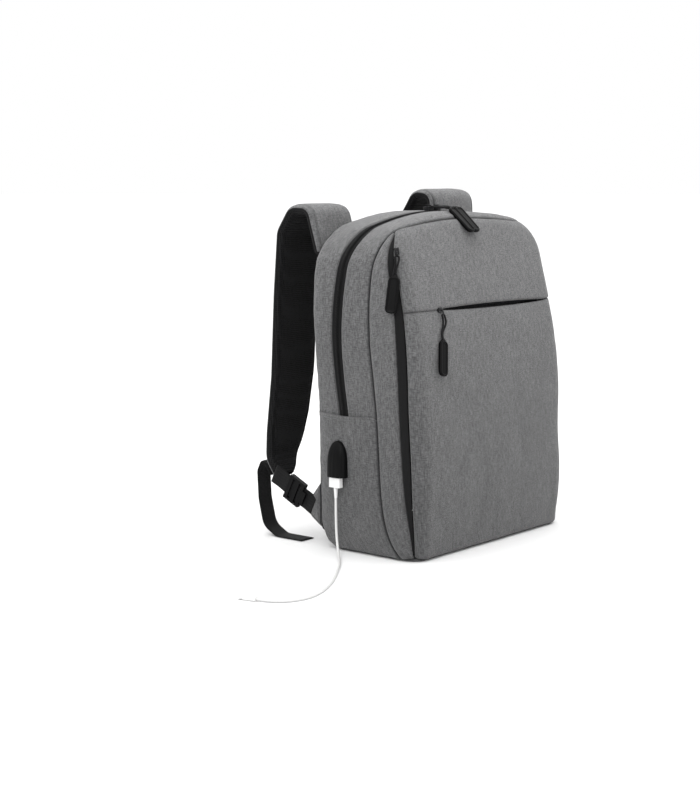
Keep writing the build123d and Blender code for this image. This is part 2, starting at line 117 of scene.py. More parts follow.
def coordinates(tree, scale, use_uv):
    """Scaled surface coordinates in metres: the fabric's own where the piece has them."""
    source = node(tree, "ShaderNodeTexCoord")
    mapping = node(tree, "ShaderNodeMapping")
    mapping.inputs["Scale"].default_value = scale
    tree.links.new(source.outputs["UV" if use_uv else "Object"], mapping.inputs["Vector"])
    return mapping.outputs[0]


def noise_value(tree, vector, scale=1.0, detail=2.0, roughness=0.5):
    """Noise output at a vector."""
    made = node(tree, "ShaderNodeTexNoise")
    made.inputs["Scale"].default_value = scale
    made.inputs["Detail"].default_value = detail
    made.inputs["Roughness"].default_value = roughness
    tree.links.new(vector, made.inputs["Vector"])
    return made.outputs["Fac"]


def math_node(tree, operation, a, b=0.0):
    """A math node fed by values or sockets."""
    made = node(tree, "ShaderNodeMath", operation=operation)
    for index, value in enumerate((a, b)):
        if hasattr(value, "is_linked"):
            tree.links.new(value, made.inputs[index])
        else:
            made.inputs[index].default_value = value
    return made.outputs[0]


def mix_colour(tree, factor, a, b, blend="MIX"):
    """A colour mix of two colours or sockets."""
    made = node(tree, "ShaderNodeMix", data_type="RGBA", blend_type=blend)
    for socket, value in ((made.inputs[0], factor), (made.inputs[6], a), (made.inputs[7], b)):
        if hasattr(value, "is_linked"):
            tree.links.new(value, socket)
        else:
            socket.default_value = value
    return made.outputs[2]


def ramp(tree, value, low, high):
    """A smooth 0 to 1 step between two values."""
    made = node(tree, "ShaderNodeMapRange", interpolation_type="SMOOTHSTEP")
    made.inputs["From Min"].default_value = low
    made.inputs["From Max"].default_value = high
    tree.links.new(value, made.inputs["Value"])
    return made.outputs[0]


def weave_height(tree, use_uv, pitch):
    """Over-and-under height of a plain weave with that thread pitch in metres."""
    across = coordinates(tree, (math.pi / pitch,) * 3, use_uv)
    split = node(tree, "ShaderNodeSeparateXYZ")
    tree.links.new(across, split.inputs[0])
    third = split.outputs["Z"]
    first = math_node(tree, "ADD", split.outputs["X"], 0.0)
    second = split.outputs["Y"]
    if not use_uv:
        second = third
        first = math_node(tree, "ADD", split.outputs["X"], split.outputs["Y"])
    product = math_node(tree, "MULTIPLY", math_node(tree, "SINE", first), math_node(tree, "SINE", second))
    return product


def add_bump(tree, shader, height, distance, strength=1.0):
    """Bump from a height socket."""
    bump = node(tree, "ShaderNodeBump")
    bump.inputs["Strength"].default_value = strength
    bump.inputs["Distance"].default_value = distance
    tree.links.new(height, bump.inputs["Height"])
    tree.links.new(bump.outputs[0], shader.inputs["Normal"])


def height_above_floor(tree):
    """Height on the bag in metres; heather_fabric uses it for painted shade, lighter towards the top and darker towards
    the foot.
    """
    split = node(tree, "ShaderNodeSeparateXYZ")
    tree.links.new(coordinates(tree, (1, 1, 1), False), split.inputs[0])
    return split.outputs["Z"]


def heather_fabric(name, dark, light, use_uv=True, sheen=0.25):
    """Melange grey plain weave: mixed light and dark fibres and slubs."""
    material, tree, shader = new_material(name)
    warp = noise_value(tree, coordinates(tree, (720, 130, 420), use_uv), 1.0, 3.0, 0.65)
    weft = noise_value(tree, coordinates(tree, (190, 760, 520), use_uv), 1.0, 3.0, 0.65)
    slub = noise_value(tree, coordinates(tree, (420, 60, 160), use_uv), 1.0, 2.0, 0.5)
    cloud = noise_value(tree, coordinates(tree, (14, 11, 12), False), 1.0, 3.0, 0.5)
    fibres = math_node(tree, "MULTIPLY", math_node(tree, "ADD", warp, weft), 0.5)
    fibres = ramp(tree, fibres, 0.38, 0.62)
    colour = mix_colour(tree, fibres, dark, light)
    colour = mix_colour(tree, math_node(tree, "MULTIPLY", ramp(tree, slub, 0.5, 0.8), 0.28), colour,
                        [c * 0.72 for c in light[:3]] + [1])
    streaks = noise_value(tree, coordinates(tree, (300, 42, 90), use_uv), 1.0, 3.0, 0.6)
    # painted shade by height: the fabric colour is made lighter up the bag and darker at its foot, as the light falls
    # on it
    painted_height_shade = ramp(tree, height_above_floor(tree), 0.0, 0.42)
    shade = math_node(tree, "ADD", math_node(tree, "MULTIPLY", cloud, 0.30), 0.51)
    shade = math_node(tree, "ADD", shade, math_node(tree, "MULTIPLY", painted_height_shade, 0.38))
    shade = math_node(tree, "ADD", shade, math_node(tree, "MULTIPLY", ramp(tree, streaks, 0.3, 0.7), 0.30))
    grey = node(tree, "ShaderNodeCombineColor")
    for channel in range(3):
        tree.links.new(shade, grey.inputs[channel])
    colour = mix_colour(tree, 1.0, colour, grey.outputs[0], "MULTIPLY")
    # painted shade: colour darkened towards near-black in seam grooves, along folded edges and on inturned skirts, from
    # the 'seam' attribute
    groove = node(tree, "ShaderNodeAttribute", attribute_name="seam")
    colour = mix_colour(tree, math_node(tree, "MULTIPLY", groove.outputs["Fac"], 1.5), colour,
                        (0.012, 0.012, 0.013, 1))
    tree.links.new(colour, shader.inputs["Base Color"])
    rough = math_node(tree, "ADD", math_node(tree, "MULTIPLY", fibres, 0.12), 0.78)
    tree.links.new(rough, shader.inputs["Roughness"])
    raised = math_node(tree, "MULTIPLY", fibres, 1.4)
    height = math_node(tree, "ADD", weave_height(tree, use_uv, 0.00055), raised)
    add_bump(tree, shader, height, 0.00016, 0.8)
    shader.inputs["Sheen Weight"].default_value = sheen
    shader.inputs["Sheen Roughness"].default_value = 0.5
    shader.inputs["Specular IOR Level"].default_value = 0.25
    return material


def ribbed_fabric(name, base, pitch, rib_depth, use_uv=True):
    """Black webbing or zip tape: fine ribs, fibre fuzz and slightly paler rubbed crests."""
    material, tree, shader = new_material(name)
    split = node(tree, "ShaderNodeSeparateXYZ")
    tree.links.new(coordinates(tree, (2 * math.pi / pitch,) * 3, use_uv), split.inputs[0])
    along = split.outputs["Y"] if use_uv else split.outputs["Z"]
    ribs = math_node(tree, "SINE", along)
    twill = math_node(tree, "SINE", math_node(tree, "ADD", split.outputs["X"], along))
    fuzz = noise_value(tree, coordinates(tree, (900, 900, 900), False), 1.0, 3.0, 0.6)
    wear = noise_value(tree, coordinates(tree, (38, 38, 38), False), 1.0, 4.0, 0.6)
    worn = math_node(tree, "MULTIPLY", ramp(tree, wear, 0.5, 0.75), ramp(tree, ribs, 0.0, 1.0))
    paler = [min(1.0, c * 2.6 + 0.004) for c in base[:3]] + [1]
    colour = mix_colour(tree, math_node(tree, "MULTIPLY", worn, 0.5), base, paler)
    colour = mix_colour(tree, math_node(tree, "MULTIPLY", fuzz, 0.25), colour, paler)
    tree.links.new(colour, shader.inputs["Base Color"])
    rough = math_node(tree, "ADD", math_node(tree, "MULTIPLY", fuzz, 0.2), 0.66)
    tree.links.new(rough, shader.inputs["Roughness"])
    height = math_node(tree, "ADD", ribs, math_node(tree, "MULTIPLY", twill, 0.5))
    add_bump(tree, shader, height, rib_depth, 0.8)
    shader.inputs["Sheen Weight"].default_value = 0.03
    shader.inputs["Specular IOR Level"].default_value = 0.12
    return material


def spacer_mesh(name, base):
    """Black three-dimensional air mesh with a hexagonal pattern of pores."""
    material, tree, shader = new_material(name)
    cells = node(tree, "ShaderNodeTexVoronoi", feature="DISTANCE_TO_EDGE")
    cells.inputs["Scale"].default_value = 1.0
    cells.inputs["Randomness"].default_value = 0.25
    tree.links.new(coordinates(tree, (420, 420, 420), False), cells.inputs["Vector"])
    wall = ramp(tree, cells.outputs["Distance"], 0.02, 0.32)
    fuzz = noise_value(tree, coordinates(tree, (1200, 1200, 1200), False), 1.0, 2.0, 0.5)
    lighter = [c * 2.4 + 0.003 for c in base[:3]] + [1]
    colour = mix_colour(tree, wall, lighter, [c * 0.35 for c in base[:3]] + [1])
    colour = mix_colour(tree, math_node(tree, "MULTIPLY", fuzz, 0.35), colour, base)
    # painted shade in seam grooves and quilted channels, from the 'seam' attribute
    groove = node(tree, "ShaderNodeAttribute", attribute_name="seam")
    colour = mix_colour(tree, math_node(tree, "MULTIPLY", groove.outputs["Fac"], 0.8), colour,
                        (0.003, 0.003, 0.003, 1))
    tree.links.new(colour, shader.inputs["Base Color"])
    rough = math_node(tree, "ADD", math_node(tree, "MULTIPLY", wall, 0.15), 0.72)
    tree.links.new(rough, shader.inputs["Roughness"])
    height = math_node(tree, "SUBTRACT", 1.0, wall)
    add_bump(tree, shader, height, 0.0005, 0.9)
    shader.inputs["Sheen Weight"].default_value = 0.02
    shader.inputs["Specular IOR Level"].default_value = 0.1
    return material


def moulded(name, base, roughness, grain=0.00004, specular=0.5, scuff=0.2, coat=0.0):
    """Moulded rubber or plastic: fine grain, faint scuffs and a soft sheen."""
    material, tree, shader = new_material(name)
    grainy = noise_value(tree, coordinates(tree, (1600, 1600, 1600), False), 1.0, 2.0, 0.5)
    wear = noise_value(tree, coordinates(tree, (90, 90, 60), False), 1.0, 5.0, 0.65)
    worn = math_node(tree, "MULTIPLY", ramp(tree, wear, 0.52, 0.8), scuff)
    paler = [min(1.0, c * 1.3 + 0.008) for c in base[:3]] + [1]
    tree.links.new(mix_colour(tree, worn, base, paler), shader.inputs["Base Color"])
    tree.links.new(math_node(tree, "ADD", math_node(tree, "MULTIPLY", wear, 0.16), roughness - 0.08),
                   shader.inputs["Roughness"])
    add_bump(tree, shader, grainy, grain, 0.7)
    shader.inputs["Specular IOR Level"].default_value = specular
    shader.inputs["Coat Weight"].default_value = coat
    return material


def enamelled(name, base):
    """Enamelled zip metal, with the enamel rubbed thin in places."""
    material, tree, shader = new_material(name)
    wear = noise_value(tree, coordinates(tree, (260, 260, 260), False), 1.0, 4.0, 0.6)
    rubbed = ramp(tree, wear, 0.62, 0.75)
    tree.links.new(mix_colour(tree, math_node(tree, "MULTIPLY", rubbed, 0.5), base, (0.25, 0.25, 0.26, 1)),
                   shader.inputs["Base Color"])
    tree.links.new(math_node(tree, "SUBTRACT", 0.42, math_node(tree, "MULTIPLY", rubbed, 0.12)),
                   shader.inputs["Roughness"])
    shader.inputs["Metallic"].default_value = 0.6
    add_bump(tree, shader, wear, 0.00005, 0.4)
    return material


def thread_material(name, base):
    """Twisted sewing thread."""
    material, tree, shader = new_material(name)
    twist = node(tree, "ShaderNodeTexWave")
    twist.inputs["Scale"].default_value = 900
    twist.inputs["Distortion"].default_value = 1.5
    tree.links.new(coordinates(tree, (1, 1, 1), False), twist.inputs["Vector"])
    darker = [c * 0.6 for c in base[:3]] + [1]
    tree.links.new(mix_colour(tree, twist.outputs["Fac"], darker, base), shader.inputs["Base Color"])
    shader.inputs["Roughness"].default_value = 0.7
    shader.inputs["Sheen Weight"].default_value = 0.2
    return material


MATERIALS = {
    "heather": heather_fabric("heather_fabric", (0.044, 0.044, 0.045, 1), (0.116, 0.116, 0.118, 1)),
    "lining": heather_fabric("lining_fabric", (0.018, 0.018, 0.02, 1), (0.04, 0.04, 0.043, 1), False, 0.1),
    "webbing": ribbed_fabric("webbing", (0.004, 0.004, 0.0043, 1), 0.0018, 0.00025),
    "tape": ribbed_fabric("zip_tape", (0.004, 0.004, 0.0043, 1), 0.0009, 0.00012),
    "mesh": spacer_mesh("air_mesh", (0.0045, 0.0045, 0.0048, 1)),
    "rubber": moulded("black_rubber", (0.0022, 0.0022, 0.0024, 1), 0.42, 0.00003, 0.08),
    "plastic": moulded("black_plastic", (0.0022, 0.0022, 0.0024, 1), 0.38, 0.00002, 0.08),
    "white": moulded("white_plastic", (0.66, 0.66, 0.655, 1), 0.32, 0.00001, 0.5, 0.06),
    "cable": moulded("cable_jacket", (0.56, 0.56, 0.555, 1), 0.42, 0.00002, 0.45, 0.10),
    "cord": ribbed_fabric("pull_cord", (0.005, 0.005, 0.0055, 1), 0.0014, 0.0002, False),
    "slider": enamelled("slider_enamel", (0.008, 0.008, 0.009, 1)),
    "thread_grey": thread_material("thread_grey", (0.12, 0.12, 0.122, 1)),
    "thread_black": thread_material("thread_black", (0.02, 0.02, 0.021, 1)),
}


# ---- Mesh helpers -------------------------------------------------------------------------

def mesh_object(name, vertices, faces, material, uvs=None, seam=None, smooth=True):
    """A mesh object from points in millimetres, with fabric coordinates in metres."""
    data = bpy.data.meshes.new(name)
    data.from_pydata([tuple(p) for p in np.asarray(vertices, float) * MM], [], [tuple(f) for f in faces])
    data.validate()
    if uvs is not None:
        layer = data.uv_layers.new(name="fabric")
        index = np.zeros(len(data.loops), np.int32)
        data.loops.foreach_get("vertex_index", index)
        layer.data.foreach_set("uv", (np.asarray(uvs, float)[index] * MM).ravel().astype(np.float32))
    if seam is not None:
        attribute = data.attributes.new("seam", "FLOAT", "POINT")
        attribute.data.foreach_set("value", np.asarray(seam, np.float32))
    data.polygons.foreach_set("use_smooth", [smooth] * len(data.polygons))
    data.materials.append(MATERIALS[material])
    piece = bpy.data.objects.new(name, data)
    bpy.context.collection.objects.link(piece)
    return piece


def grid_faces(rows, columns, start=0, wrap=False):
    """Quads of a grid of rows by columns points, numbered row by row."""
    faces = []
    last = columns if wrap else columns - 1
    for r in range(rows - 1):
        for c in range(last):
            d = (c + 1) % columns
            a = start + r * columns
            faces.append((a + c, a + d, a + columns + d, a + columns + c))
    return faces


def smooth_noise(points, wavelength, seed):
    """Seeded smooth noise, from -1 to 1, at points in millimetres."""
    shift = Vector((seed * 17.3, seed * 5.9, seed * 11.1))
    return np.array([noise.noise(Vector(p) / wavelength + shift) for p in points])


def spline(keys, values):
    """Smooth monotone-free curve through keyed values, as Catmull-Rom."""
    keys = np.asarray(keys, float)
    values = np.asarray(values, float)
    if values.ndim == 1:
        values = values[:, None]
    slopes = np.gradient(values, keys, axis=0)

    def at(t):
        t = np.atleast_1d(np.asarray(t, float))
        i = np.clip(np.searchsorted(keys, t, side="right") - 1, 0, len(keys) - 2)
        h = (keys[i + 1] - keys[i])[:, None]
        s = ((t - keys[i]) / (keys[i + 1] - keys[i]))[:, None]
        a = values[i]
        b = values[i + 1]
        return (a * (2 * s ** 3 - 3 * s ** 2 + 1) + b * (3 * s ** 2 - 2 * s ** 3)
                + slopes[i] * h * (s ** 3 - 2 * s ** 2 + s) + slopes[i + 1] * h * (s ** 3 - s ** 2))
    return at


def curve_y(points):
    """y as a smooth function of z, for a side-view curve."""
    at = spline([z for _, z in points], [y for y, _ in points])
    return lambda z: at(z)[:, 0]


seam_y = curve_y(SEAM)
zip_y = curve_y(ZIP_LINE)
strip_front_y = curve_y(STRIP_FRONT)
strip_rear_y = curve_y(STRIP_REAR)


# ---- The bag's outer surface --------------------------------------------------------------

def rounded_max(a, b, radius):
    """Intersection of two distance fields with a rounded edge between them."""
    u = np.maximum(a + radius, 0)
    v = np.maximum(b + radius, 0)
    return np.hypot(u, v) + np.minimum(np.maximum(a + radius, b + radius), 0) - radius


def shoulder(corner_r, crown_r):
    """Centre of a top corner, centre height of the crown, and the angle where they join."""
    corner_x = HALF_WIDTH - corner_r
    crown_z = HEIGHT - crown_r
    corner_z = crown_z + math.sqrt((crown_r - corner_r) ** 2 - corner_x ** 2)
    return corner_x, corner_z, crown_z, math.atan2(corner_z - crown_z, corner_x)


def half_distance(ax, z, corner_r, crown_r):
    """Distance outside one half of the front outline, for distances ax from the middle."""
    corner_x, corner_z, crown_z, join = shoulder(corner_r, crown_r)
    corner = np.hypot(ax - corner_x, z - corner_z) - corner_r
    crown = np.hypot(ax, z - crown_z) - crown_r
    upper = np.where(np.arctan2(z - corner_z, ax - corner_x) < join, corner, crown)
    return np.where(z < corner_z, ax - HALF_WIDTH, upper)


def outline_distance(x, z):
    """Distance outside the front outline: upright sides, round corners, arched top."""
    ax = np.abs(x)
    return np.where(x < 0, half_distance(ax, z, *LEFT_TOP), half_distance(ax, z, *RIGHT_TOP))


def front_distance(y, z):
    """Distance outside the front face: a full belly below, raked back above."""
    belly = 3.0 * np.sin(np.pi * np.clip((z - 10) / 140, 0, 1))
    return np.hypot(y - DOME_Y, np.maximum(z - DOME_Z, 0)) - DOME_R - belly


def bag_distance(p):
    """Distance outside the bag's skin, for points in millimetres."""
    x, y, z = p[:, 0], p[:, 1], p[:, 2]
    fullness = 4.5 * np.sin(np.pi * np.clip(z / 400, 0, 1)) ** 0.8
    fullness = fullness * np.cos(np.pi * np.clip((y - 5) / 190, -0.5, 0.5))
    fullness += 10.0 * np.exp(-((z - 290) / 85) ** 2) * np.clip((y + 5) / 65, 0, 1)
    side = outline_distance(x, z) - np.where(z < 345, fullness, fullness * np.clip((400 - z) / 55, 0, 1))
    top = np.clip((z - 320) / 60, 0, 1)
    edge = 24 - 8 * top * top * (3 - 2 * top)
    f = rounded_max(side, front_distance(y, z), edge)
    heel = np.clip((120 - z) / 80, 0, 1)
    rear = rounded_max(y - BACK_Y, -z, 9 + 26 * heel * heel * (3 - 2 * heel))
    return rounded_max(f, rear, 7.0)


def bag_normal(p):
    """Outward unit normal of the bag's skin."""
    step = 0.5
    g = np.zeros_like(p)
    for axis in range(3):
        d = np.zeros(3)
        d[axis] = step
        g[:, axis] = bag_distance(p + d) - bag_distance(p - d)
    return g / np.maximum(np.linalg.norm(g, axis=1, keepdims=True), 1e-9)


def onto_bag(p, level=0.0):
    """Points moved onto the bag's skin."""
    p = np.array(p, float)
    for _ in range(7):
        p -= bag_normal(p) * (bag_distance(p) - level)[:, None]
    return p


# ---- Sewn panels --------------------------------------------------------------------------

def resample(points, count):
    """Evenly spaced points along a polyline."""
    points = np.asarray(points, float)
    lengths = np.r_[0, np.cumsum(np.linalg.norm(np.diff(points, axis=0), axis=1))]
    t = np.linspace(0, lengths[-1], count)
    return np.stack([np.interp(t, lengths, points[:, k]) for k in range(3)], axis=1)


def coons(bottom, top, left, right):
    """Grid between four edge curves: rows run from bottom to top, columns from left to right."""
    rows, columns = len(left), len(bottom)
    u = np.linspace(0, 1, columns)[None, :, None]
    v = np.linspace(0, 1, rows)[:, None, None]
    ruled_v = (1 - v) * bottom[None] + v * top[None]
    ruled_u = (1 - u) * left[:, None] + u * right[:, None]
    corners = ((1 - u) * (1 - v) * bottom[0] + u * (1 - v) * bottom[-1]
               + (1 - u) * v * top[0] + u * v * top[-1])
    return ruled_v + ruled_u - corners


def edge_distances(grid):
    """Distance of every grid point from the bottom, top, left and right edges."""
    along_v = np.linalg.norm(np.diff(grid, axis=0), axis=2)
    along_u = np.linalg.norm(np.diff(grid, axis=1), axis=2)
    bottom = np.concatenate([np.zeros((1, grid.shape[1])), np.cumsum(along_v, axis=0)])
    left = np.concatenate([np.zeros((grid.shape[0], 1)), np.cumsum(along_u, axis=1)], axis=1)
    return {"bottom": bottom, "top": bottom[-1:] - bottom, "left": left, "right": left[:, -1:] - left}


def crowd_edges(count, crowd=0.35):
    """Fractions from 0 to 1, closer together near both ends."""
    t = np.linspace(0, 1, count)
    return t - crowd * np.sin(2 * np.pi * t) / (2 * np.pi)


SEW = {
    "seam": (2.2, 1.7, 0.9),     # depth, reach and painted shade of a sewn seam's groove
    "fold": (1.1, 1.0, 0.25),    # a turned edge that lies free
    "open": (0.0, 1.0, 0.0),
}


def panel(name, edges, rows, columns, sewing, material="heather", puff=1.2, level=0.0,
          wrinkle=0.7, seed=1, skirt=3.0, lift=None, relax=6):
    """One sewn fabric panel lying on the bag's skin, with thick edges that turn inwards.

    edges are four curves in millimetres, and sewing says how each edge is finished."""
    u = crowd_edges(columns)
    v = crowd_edges(rows)
    fine = {}
    for side, curve in edges.items():
        curve = onto_bag(resample(curve, 400), level)
        curve = resample(curve, 400)
        t = np.linspace(0, 1, 400)
        want = u if side in ("bottom", "top") else v
        fine[side] = np.stack([np.interp(want, t, curve[:, k]) for k in range(3)], axis=1)
    grid = coons(fine["bottom"], fine["top"], fine["left"], fine["right"])
    for _ in range(5):
        grid = onto_bag(grid.reshape(-1, 3), level).reshape(rows, columns, 3)
        grid[0], grid[-1], grid[:, 0], grid[:, -1] = fine["bottom"], fine["top"], fine["left"], fine["right"]
        for _ in range(relax):
            grid[1:-1, 1:-1] = (grid[:-2, 1:-1] + grid[2:, 1:-1] + grid[1:-1, :-2] + grid[1:-1, 2:]) / 4
    inner = onto_bag(grid[1:-1, 1:-1].reshape(-1, 3), level)
    grid[1:-1, 1:-1] = inner.reshape(rows - 2, columns - 2, 3)

    distances = edge_distances(grid)
    flat = grid.reshape(-1, 3)
    normal = bag_normal(flat)
    offset = np.zeros(len(flat))
    dark = np.zeros(len(flat))
    rim = np.ones(len(flat))
    for side, kind in sewing.items():
        depth, reach, shade = SEW[kind]
        d = distances[side].reshape(-1)
        offset -= depth * np.exp(-(d / reach) ** 1.5)
        # painted shade: the colour is darkened along seam grooves and folded edges
        dark = np.maximum(dark, shade * np.exp(-(d / 1.5) ** 2))
        if kind == "seam":
            ripple = smooth_noise(flat, 13.0, seed + 3)
            offset += 0.9 * ripple * np.exp(-d / 12.0) * (1 - np.exp(-d / 2.5))
        rim *= 1 - np.exp(-d / 14.0)
    offset += puff * rim
    if wrinkle:
        wave = smooth_noise(flat, 70.0, seed) + 0.5 * smooth_noise(flat * (1, 1, 0.45), 30.0, seed + 1)
        offset += 1.2 * wrinkle * wave * np.minimum(1, rim * 1.5)
        crease = 1 - np.abs(smooth_noise(flat * (1, 0.6, 0.5), 48.0, seed + 8))
        offset -= 0.4 * wrinkle * crease ** 9 * np.minimum(1, rim * 1.5)
    if lift is not None:
        offset += lift(flat, distances)
    flat = flat + normal * offset[:, None]

    uvs = np.stack([distances["left"].reshape(-1), distances["bottom"].reshape(-1)], axis=1)
    climb_along, climb_across = (np.abs(np.diff(grid[..., 2], axis=a)).sum(axis=a).mean() for a in (1, 0))
    if material == "heather" and climb_along > climb_across:
        uvs = uvs[:, ::-1]
    vertices = [flat]
    all_uvs = [uvs]
    seam_shades = [dark]
    faces = grid_faces(rows, columns)
    ring = ([(0, c) for c in range(columns)] + [(r, columns - 1) for r in range(1, rows)]
            + [(rows - 1, c) for c in range(columns - 2, -1, -1)] + [(r, 0) for r in range(rows - 2, 0, -1)])
    ring_index = np.array([r * columns + c for r, c in ring])
    base = rows * columns
    rim_points = flat[ring_index]
    inward = normal[ring_index]
    previous = ring_index
    for depth in (skirt * 0.5, skirt):
        vertices.append(rim_points - inward * depth)
        all_uvs.append(uvs[ring_index])
        # painted shade: the inturned skirt is made at least half dark, where the gap between panels lies in shade
        seam_shades.append(np.maximum(dark[ring_index], 0.5))
        current = base + np.arange(len(ring_index))
        for k in range(len(ring_index)):
            n = (k + 1) % len(ring_index)
            faces.append((previous[n], previous[k], current[k], current[n]))
        previous = current
        base += len(ring_index)
    piece = mesh_object(name, np.concatenate(vertices), faces, material, np.concatenate(all_uvs),
                        np.concatenate(seam_shades))
    return piece, flat.reshape(rows, columns, 3), normal.reshape(rows, columns, 3)


def stitch_line(path, normals, length=2.6, gap=1.0, radius=0.32):
    """Vertices and faces of a row of short sewn stitches along a path."""
    lengths = np.r_[0, np.cumsum(np.linalg.norm(np.diff(path, axis=0), axis=1))]
    vertices = []
    faces = []
    count = int(lengths[-1] // (length + gap))
    profile = ((0.0, -0.25), (0.18, 0.55), (0.5, 0.8), (0.82, 0.55), (1.0, -0.25))
    for k in range(count):
        start = k * (length + gap)
        base = len(vertices)
        for share, rise in profile:
            at = start + share * length
            point = np.array([np.interp(at, lengths, path[:, i]) for i in range(3)])
            up = np.array([np.interp(at, lengths, normals[:, i]) for i in range(3)])
            next_at = min(at + 0.5, lengths[-1])
            ahead = np.array([np.interp(next_at, lengths, path[:, i]) for i in range(3)]) - point
            behind = point - np.array([np.interp(max(at - 0.5, 0), lengths, path[:, i]) for i in range(3)])
            along = ahead + behind
            side = np.cross(along, up)
            side /= max(np.linalg.norm(side), 1e-9)
            centre = point + up * radius * rise
            for a in range(4):
                turn = math.pi / 4 + a * math.pi / 2
                vertices.append(centre + side * radius * 1.15 * math.cos(turn) + up * radius * math.sin(turn))
        faces += grid_faces(len(profile), 4, base, wrap=True)
        faces.append(tuple(base + a for a in (3, 2, 1, 0)))
        end = base + 4 * (len(profile) - 1)
        faces.append(tuple(end + a for a in range(4)))
    return vertices, faces


def stitches(name, lines, material, body):
    """One object holding several rows of stitches."""
    vertices = []
    faces = []
    for path, normals in lines:
        more, quads = stitch_line(np.asarray(path), np.asarray(normals))
        faces += [tuple(len(vertices) + i for i in quad) for quad in quads]
        vertices += more
    piece = mesh_object(name, vertices, faces, material)
    if body:
        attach(piece, body)
    return piece


def inset_line(grid, normals, side, distance):
    """A line on a panel, a distance in from one of its edges."""
    if side in ("bottom", "top"):
        g = grid if side == "bottom" else grid[::-1]
        n = normals if side == "bottom" else normals[::-1]
    else:
        g = np.swapaxes(grid, 0, 1)
        n = np.swapaxes(normals, 0, 1)
        if side == "right":
            g = g[::-1]
            n = n[::-1]
    path = []
    ups = []
    for c in range(g.shape[1]):
        lengths = np.r_[0, np.cumsum(np.linalg.norm(np.diff(g[:, c], axis=0), axis=1))]
        path.append([np.interp(distance, lengths, g[:, c, k]) for k in range(3)])
        ups.append([np.interp(distance, lengths, n[:, c, k]) for k in range(3)])
    return np.array(path), np.array(ups)


# ---- Bag panels ---------------------------------------------------------------------------

def half_outline(corner_r, crown_r):
    """Half of the front outline from its foot to the middle of the top, as (distance, z)."""
    corner_x, corner_z, crown_z, join = shoulder(corner_r, crown_r)
    points = [(HALF_WIDTH, z) for z in np.linspace(0, corner_z, 60)[:-1]]
    for angle in np.linspace(0, join, 30):
        points.append((corner_x + corner_r * math.cos(angle), corner_z + corner_r * math.sin(angle)))
    for angle in np.linspace(join, math.pi / 2, 31)[1:]:
        points.append((crown_r * math.cos(angle), crown_z + crown_r * math.sin(angle)))
    return np.array(points)


LEFT_OUTLINE = half_outline(*LEFT_TOP)
RIGHT_OUTLINE = half_outline(*RIGHT_TOP)
OUTLINE = np.concatenate([LEFT_OUTLINE * (-1, 1), RIGHT_OUTLINE[::-1][1:]])


def girth(y_of_z, z_left, z_right, dy=0.0):
    """Seam over the bag from a height on the left side to a height on the right."""
    z = OUTLINE[:, 1]
    left = np.argmax(z > z_left)
    right = len(z) - 1 - np.argmax(z[::-1] > z_right)
    points = OUTLINE[left:right + 1]
    lead = [(-np.interp(z_left, LEFT_OUTLINE[:, 1], LEFT_OUTLINE[:, 0]), z_left)]
    tail = [(np.interp(z_right, RIGHT_OUTLINE[:, 1], RIGHT_OUTLINE[:, 0]), z_right)]
    points = np.array(lead + list(points) + tail)
    return np.stack([points[:, 0], y_of_z(points[:, 1]) + dy, points[:, 1]], axis=1)


def left_side(y_of_z, z_low, z_high, dy=0.0):
    """Part of a seam on the left of the bag, from low to high."""
    z = np.linspace(z_low, z_high, 80)
    x = -np.interp(z, LEFT_OUTLINE[:, 1], LEFT_OUTLINE[:, 0])
    return np.stack([x, y_of_z(z) + dy, z], axis=1)


def right_side(y_of_z, z_low, z_high, dy=0.0):
    """Part of a seam on the right of the bag, from low to high."""
    z = np.linspace(z_low, z_high, 80)
    x = np.interp(z, RIGHT_OUTLINE[:, 1], RIGHT_OUTLINE[:, 0])
    return np.stack([x, y_of_z(z) + dy, z], axis=1)


def straight(a, b, count=60):
    """Evenly spaced points from a to b."""
    return np.linspace(np.asarray(a, float), np.asarray(b, float), count)


BASE_Z = 2.0
TIP_Z = 380.0
SLIT_MID = sum(SLIT_Z) / 2
REAR_Y = 71.5


def constant_y(y):
    """A seam at one depth."""
    return lambda z: np.full_like(np.asarray(z, float), y)


def front_row(z, opening=0.0):
    """A line across the front from the corner strip to the right seam at a height."""
    left = np.array([-HALF_WIDTH, float(strip_front_y(z)[0]), z])
    right = np.array([HALF_WIDTH, float(seam_y(z)[0]), z])
    corner_y = DOME_Y - math.sqrt(DOME_R ** 2 - max(z - DOME_Z, 0) ** 2)
    across = straight((-130, corner_y, z), (130, corner_y, z), 120)
    share = np.clip((across[:, 0] + 92) / 228, 0, 1)
    across[:, 2] += opening * np.sin(np.pi * share) ** 0.55
    return np.concatenate([[left], across, [(148, corner_y + 14, z)], [right]])


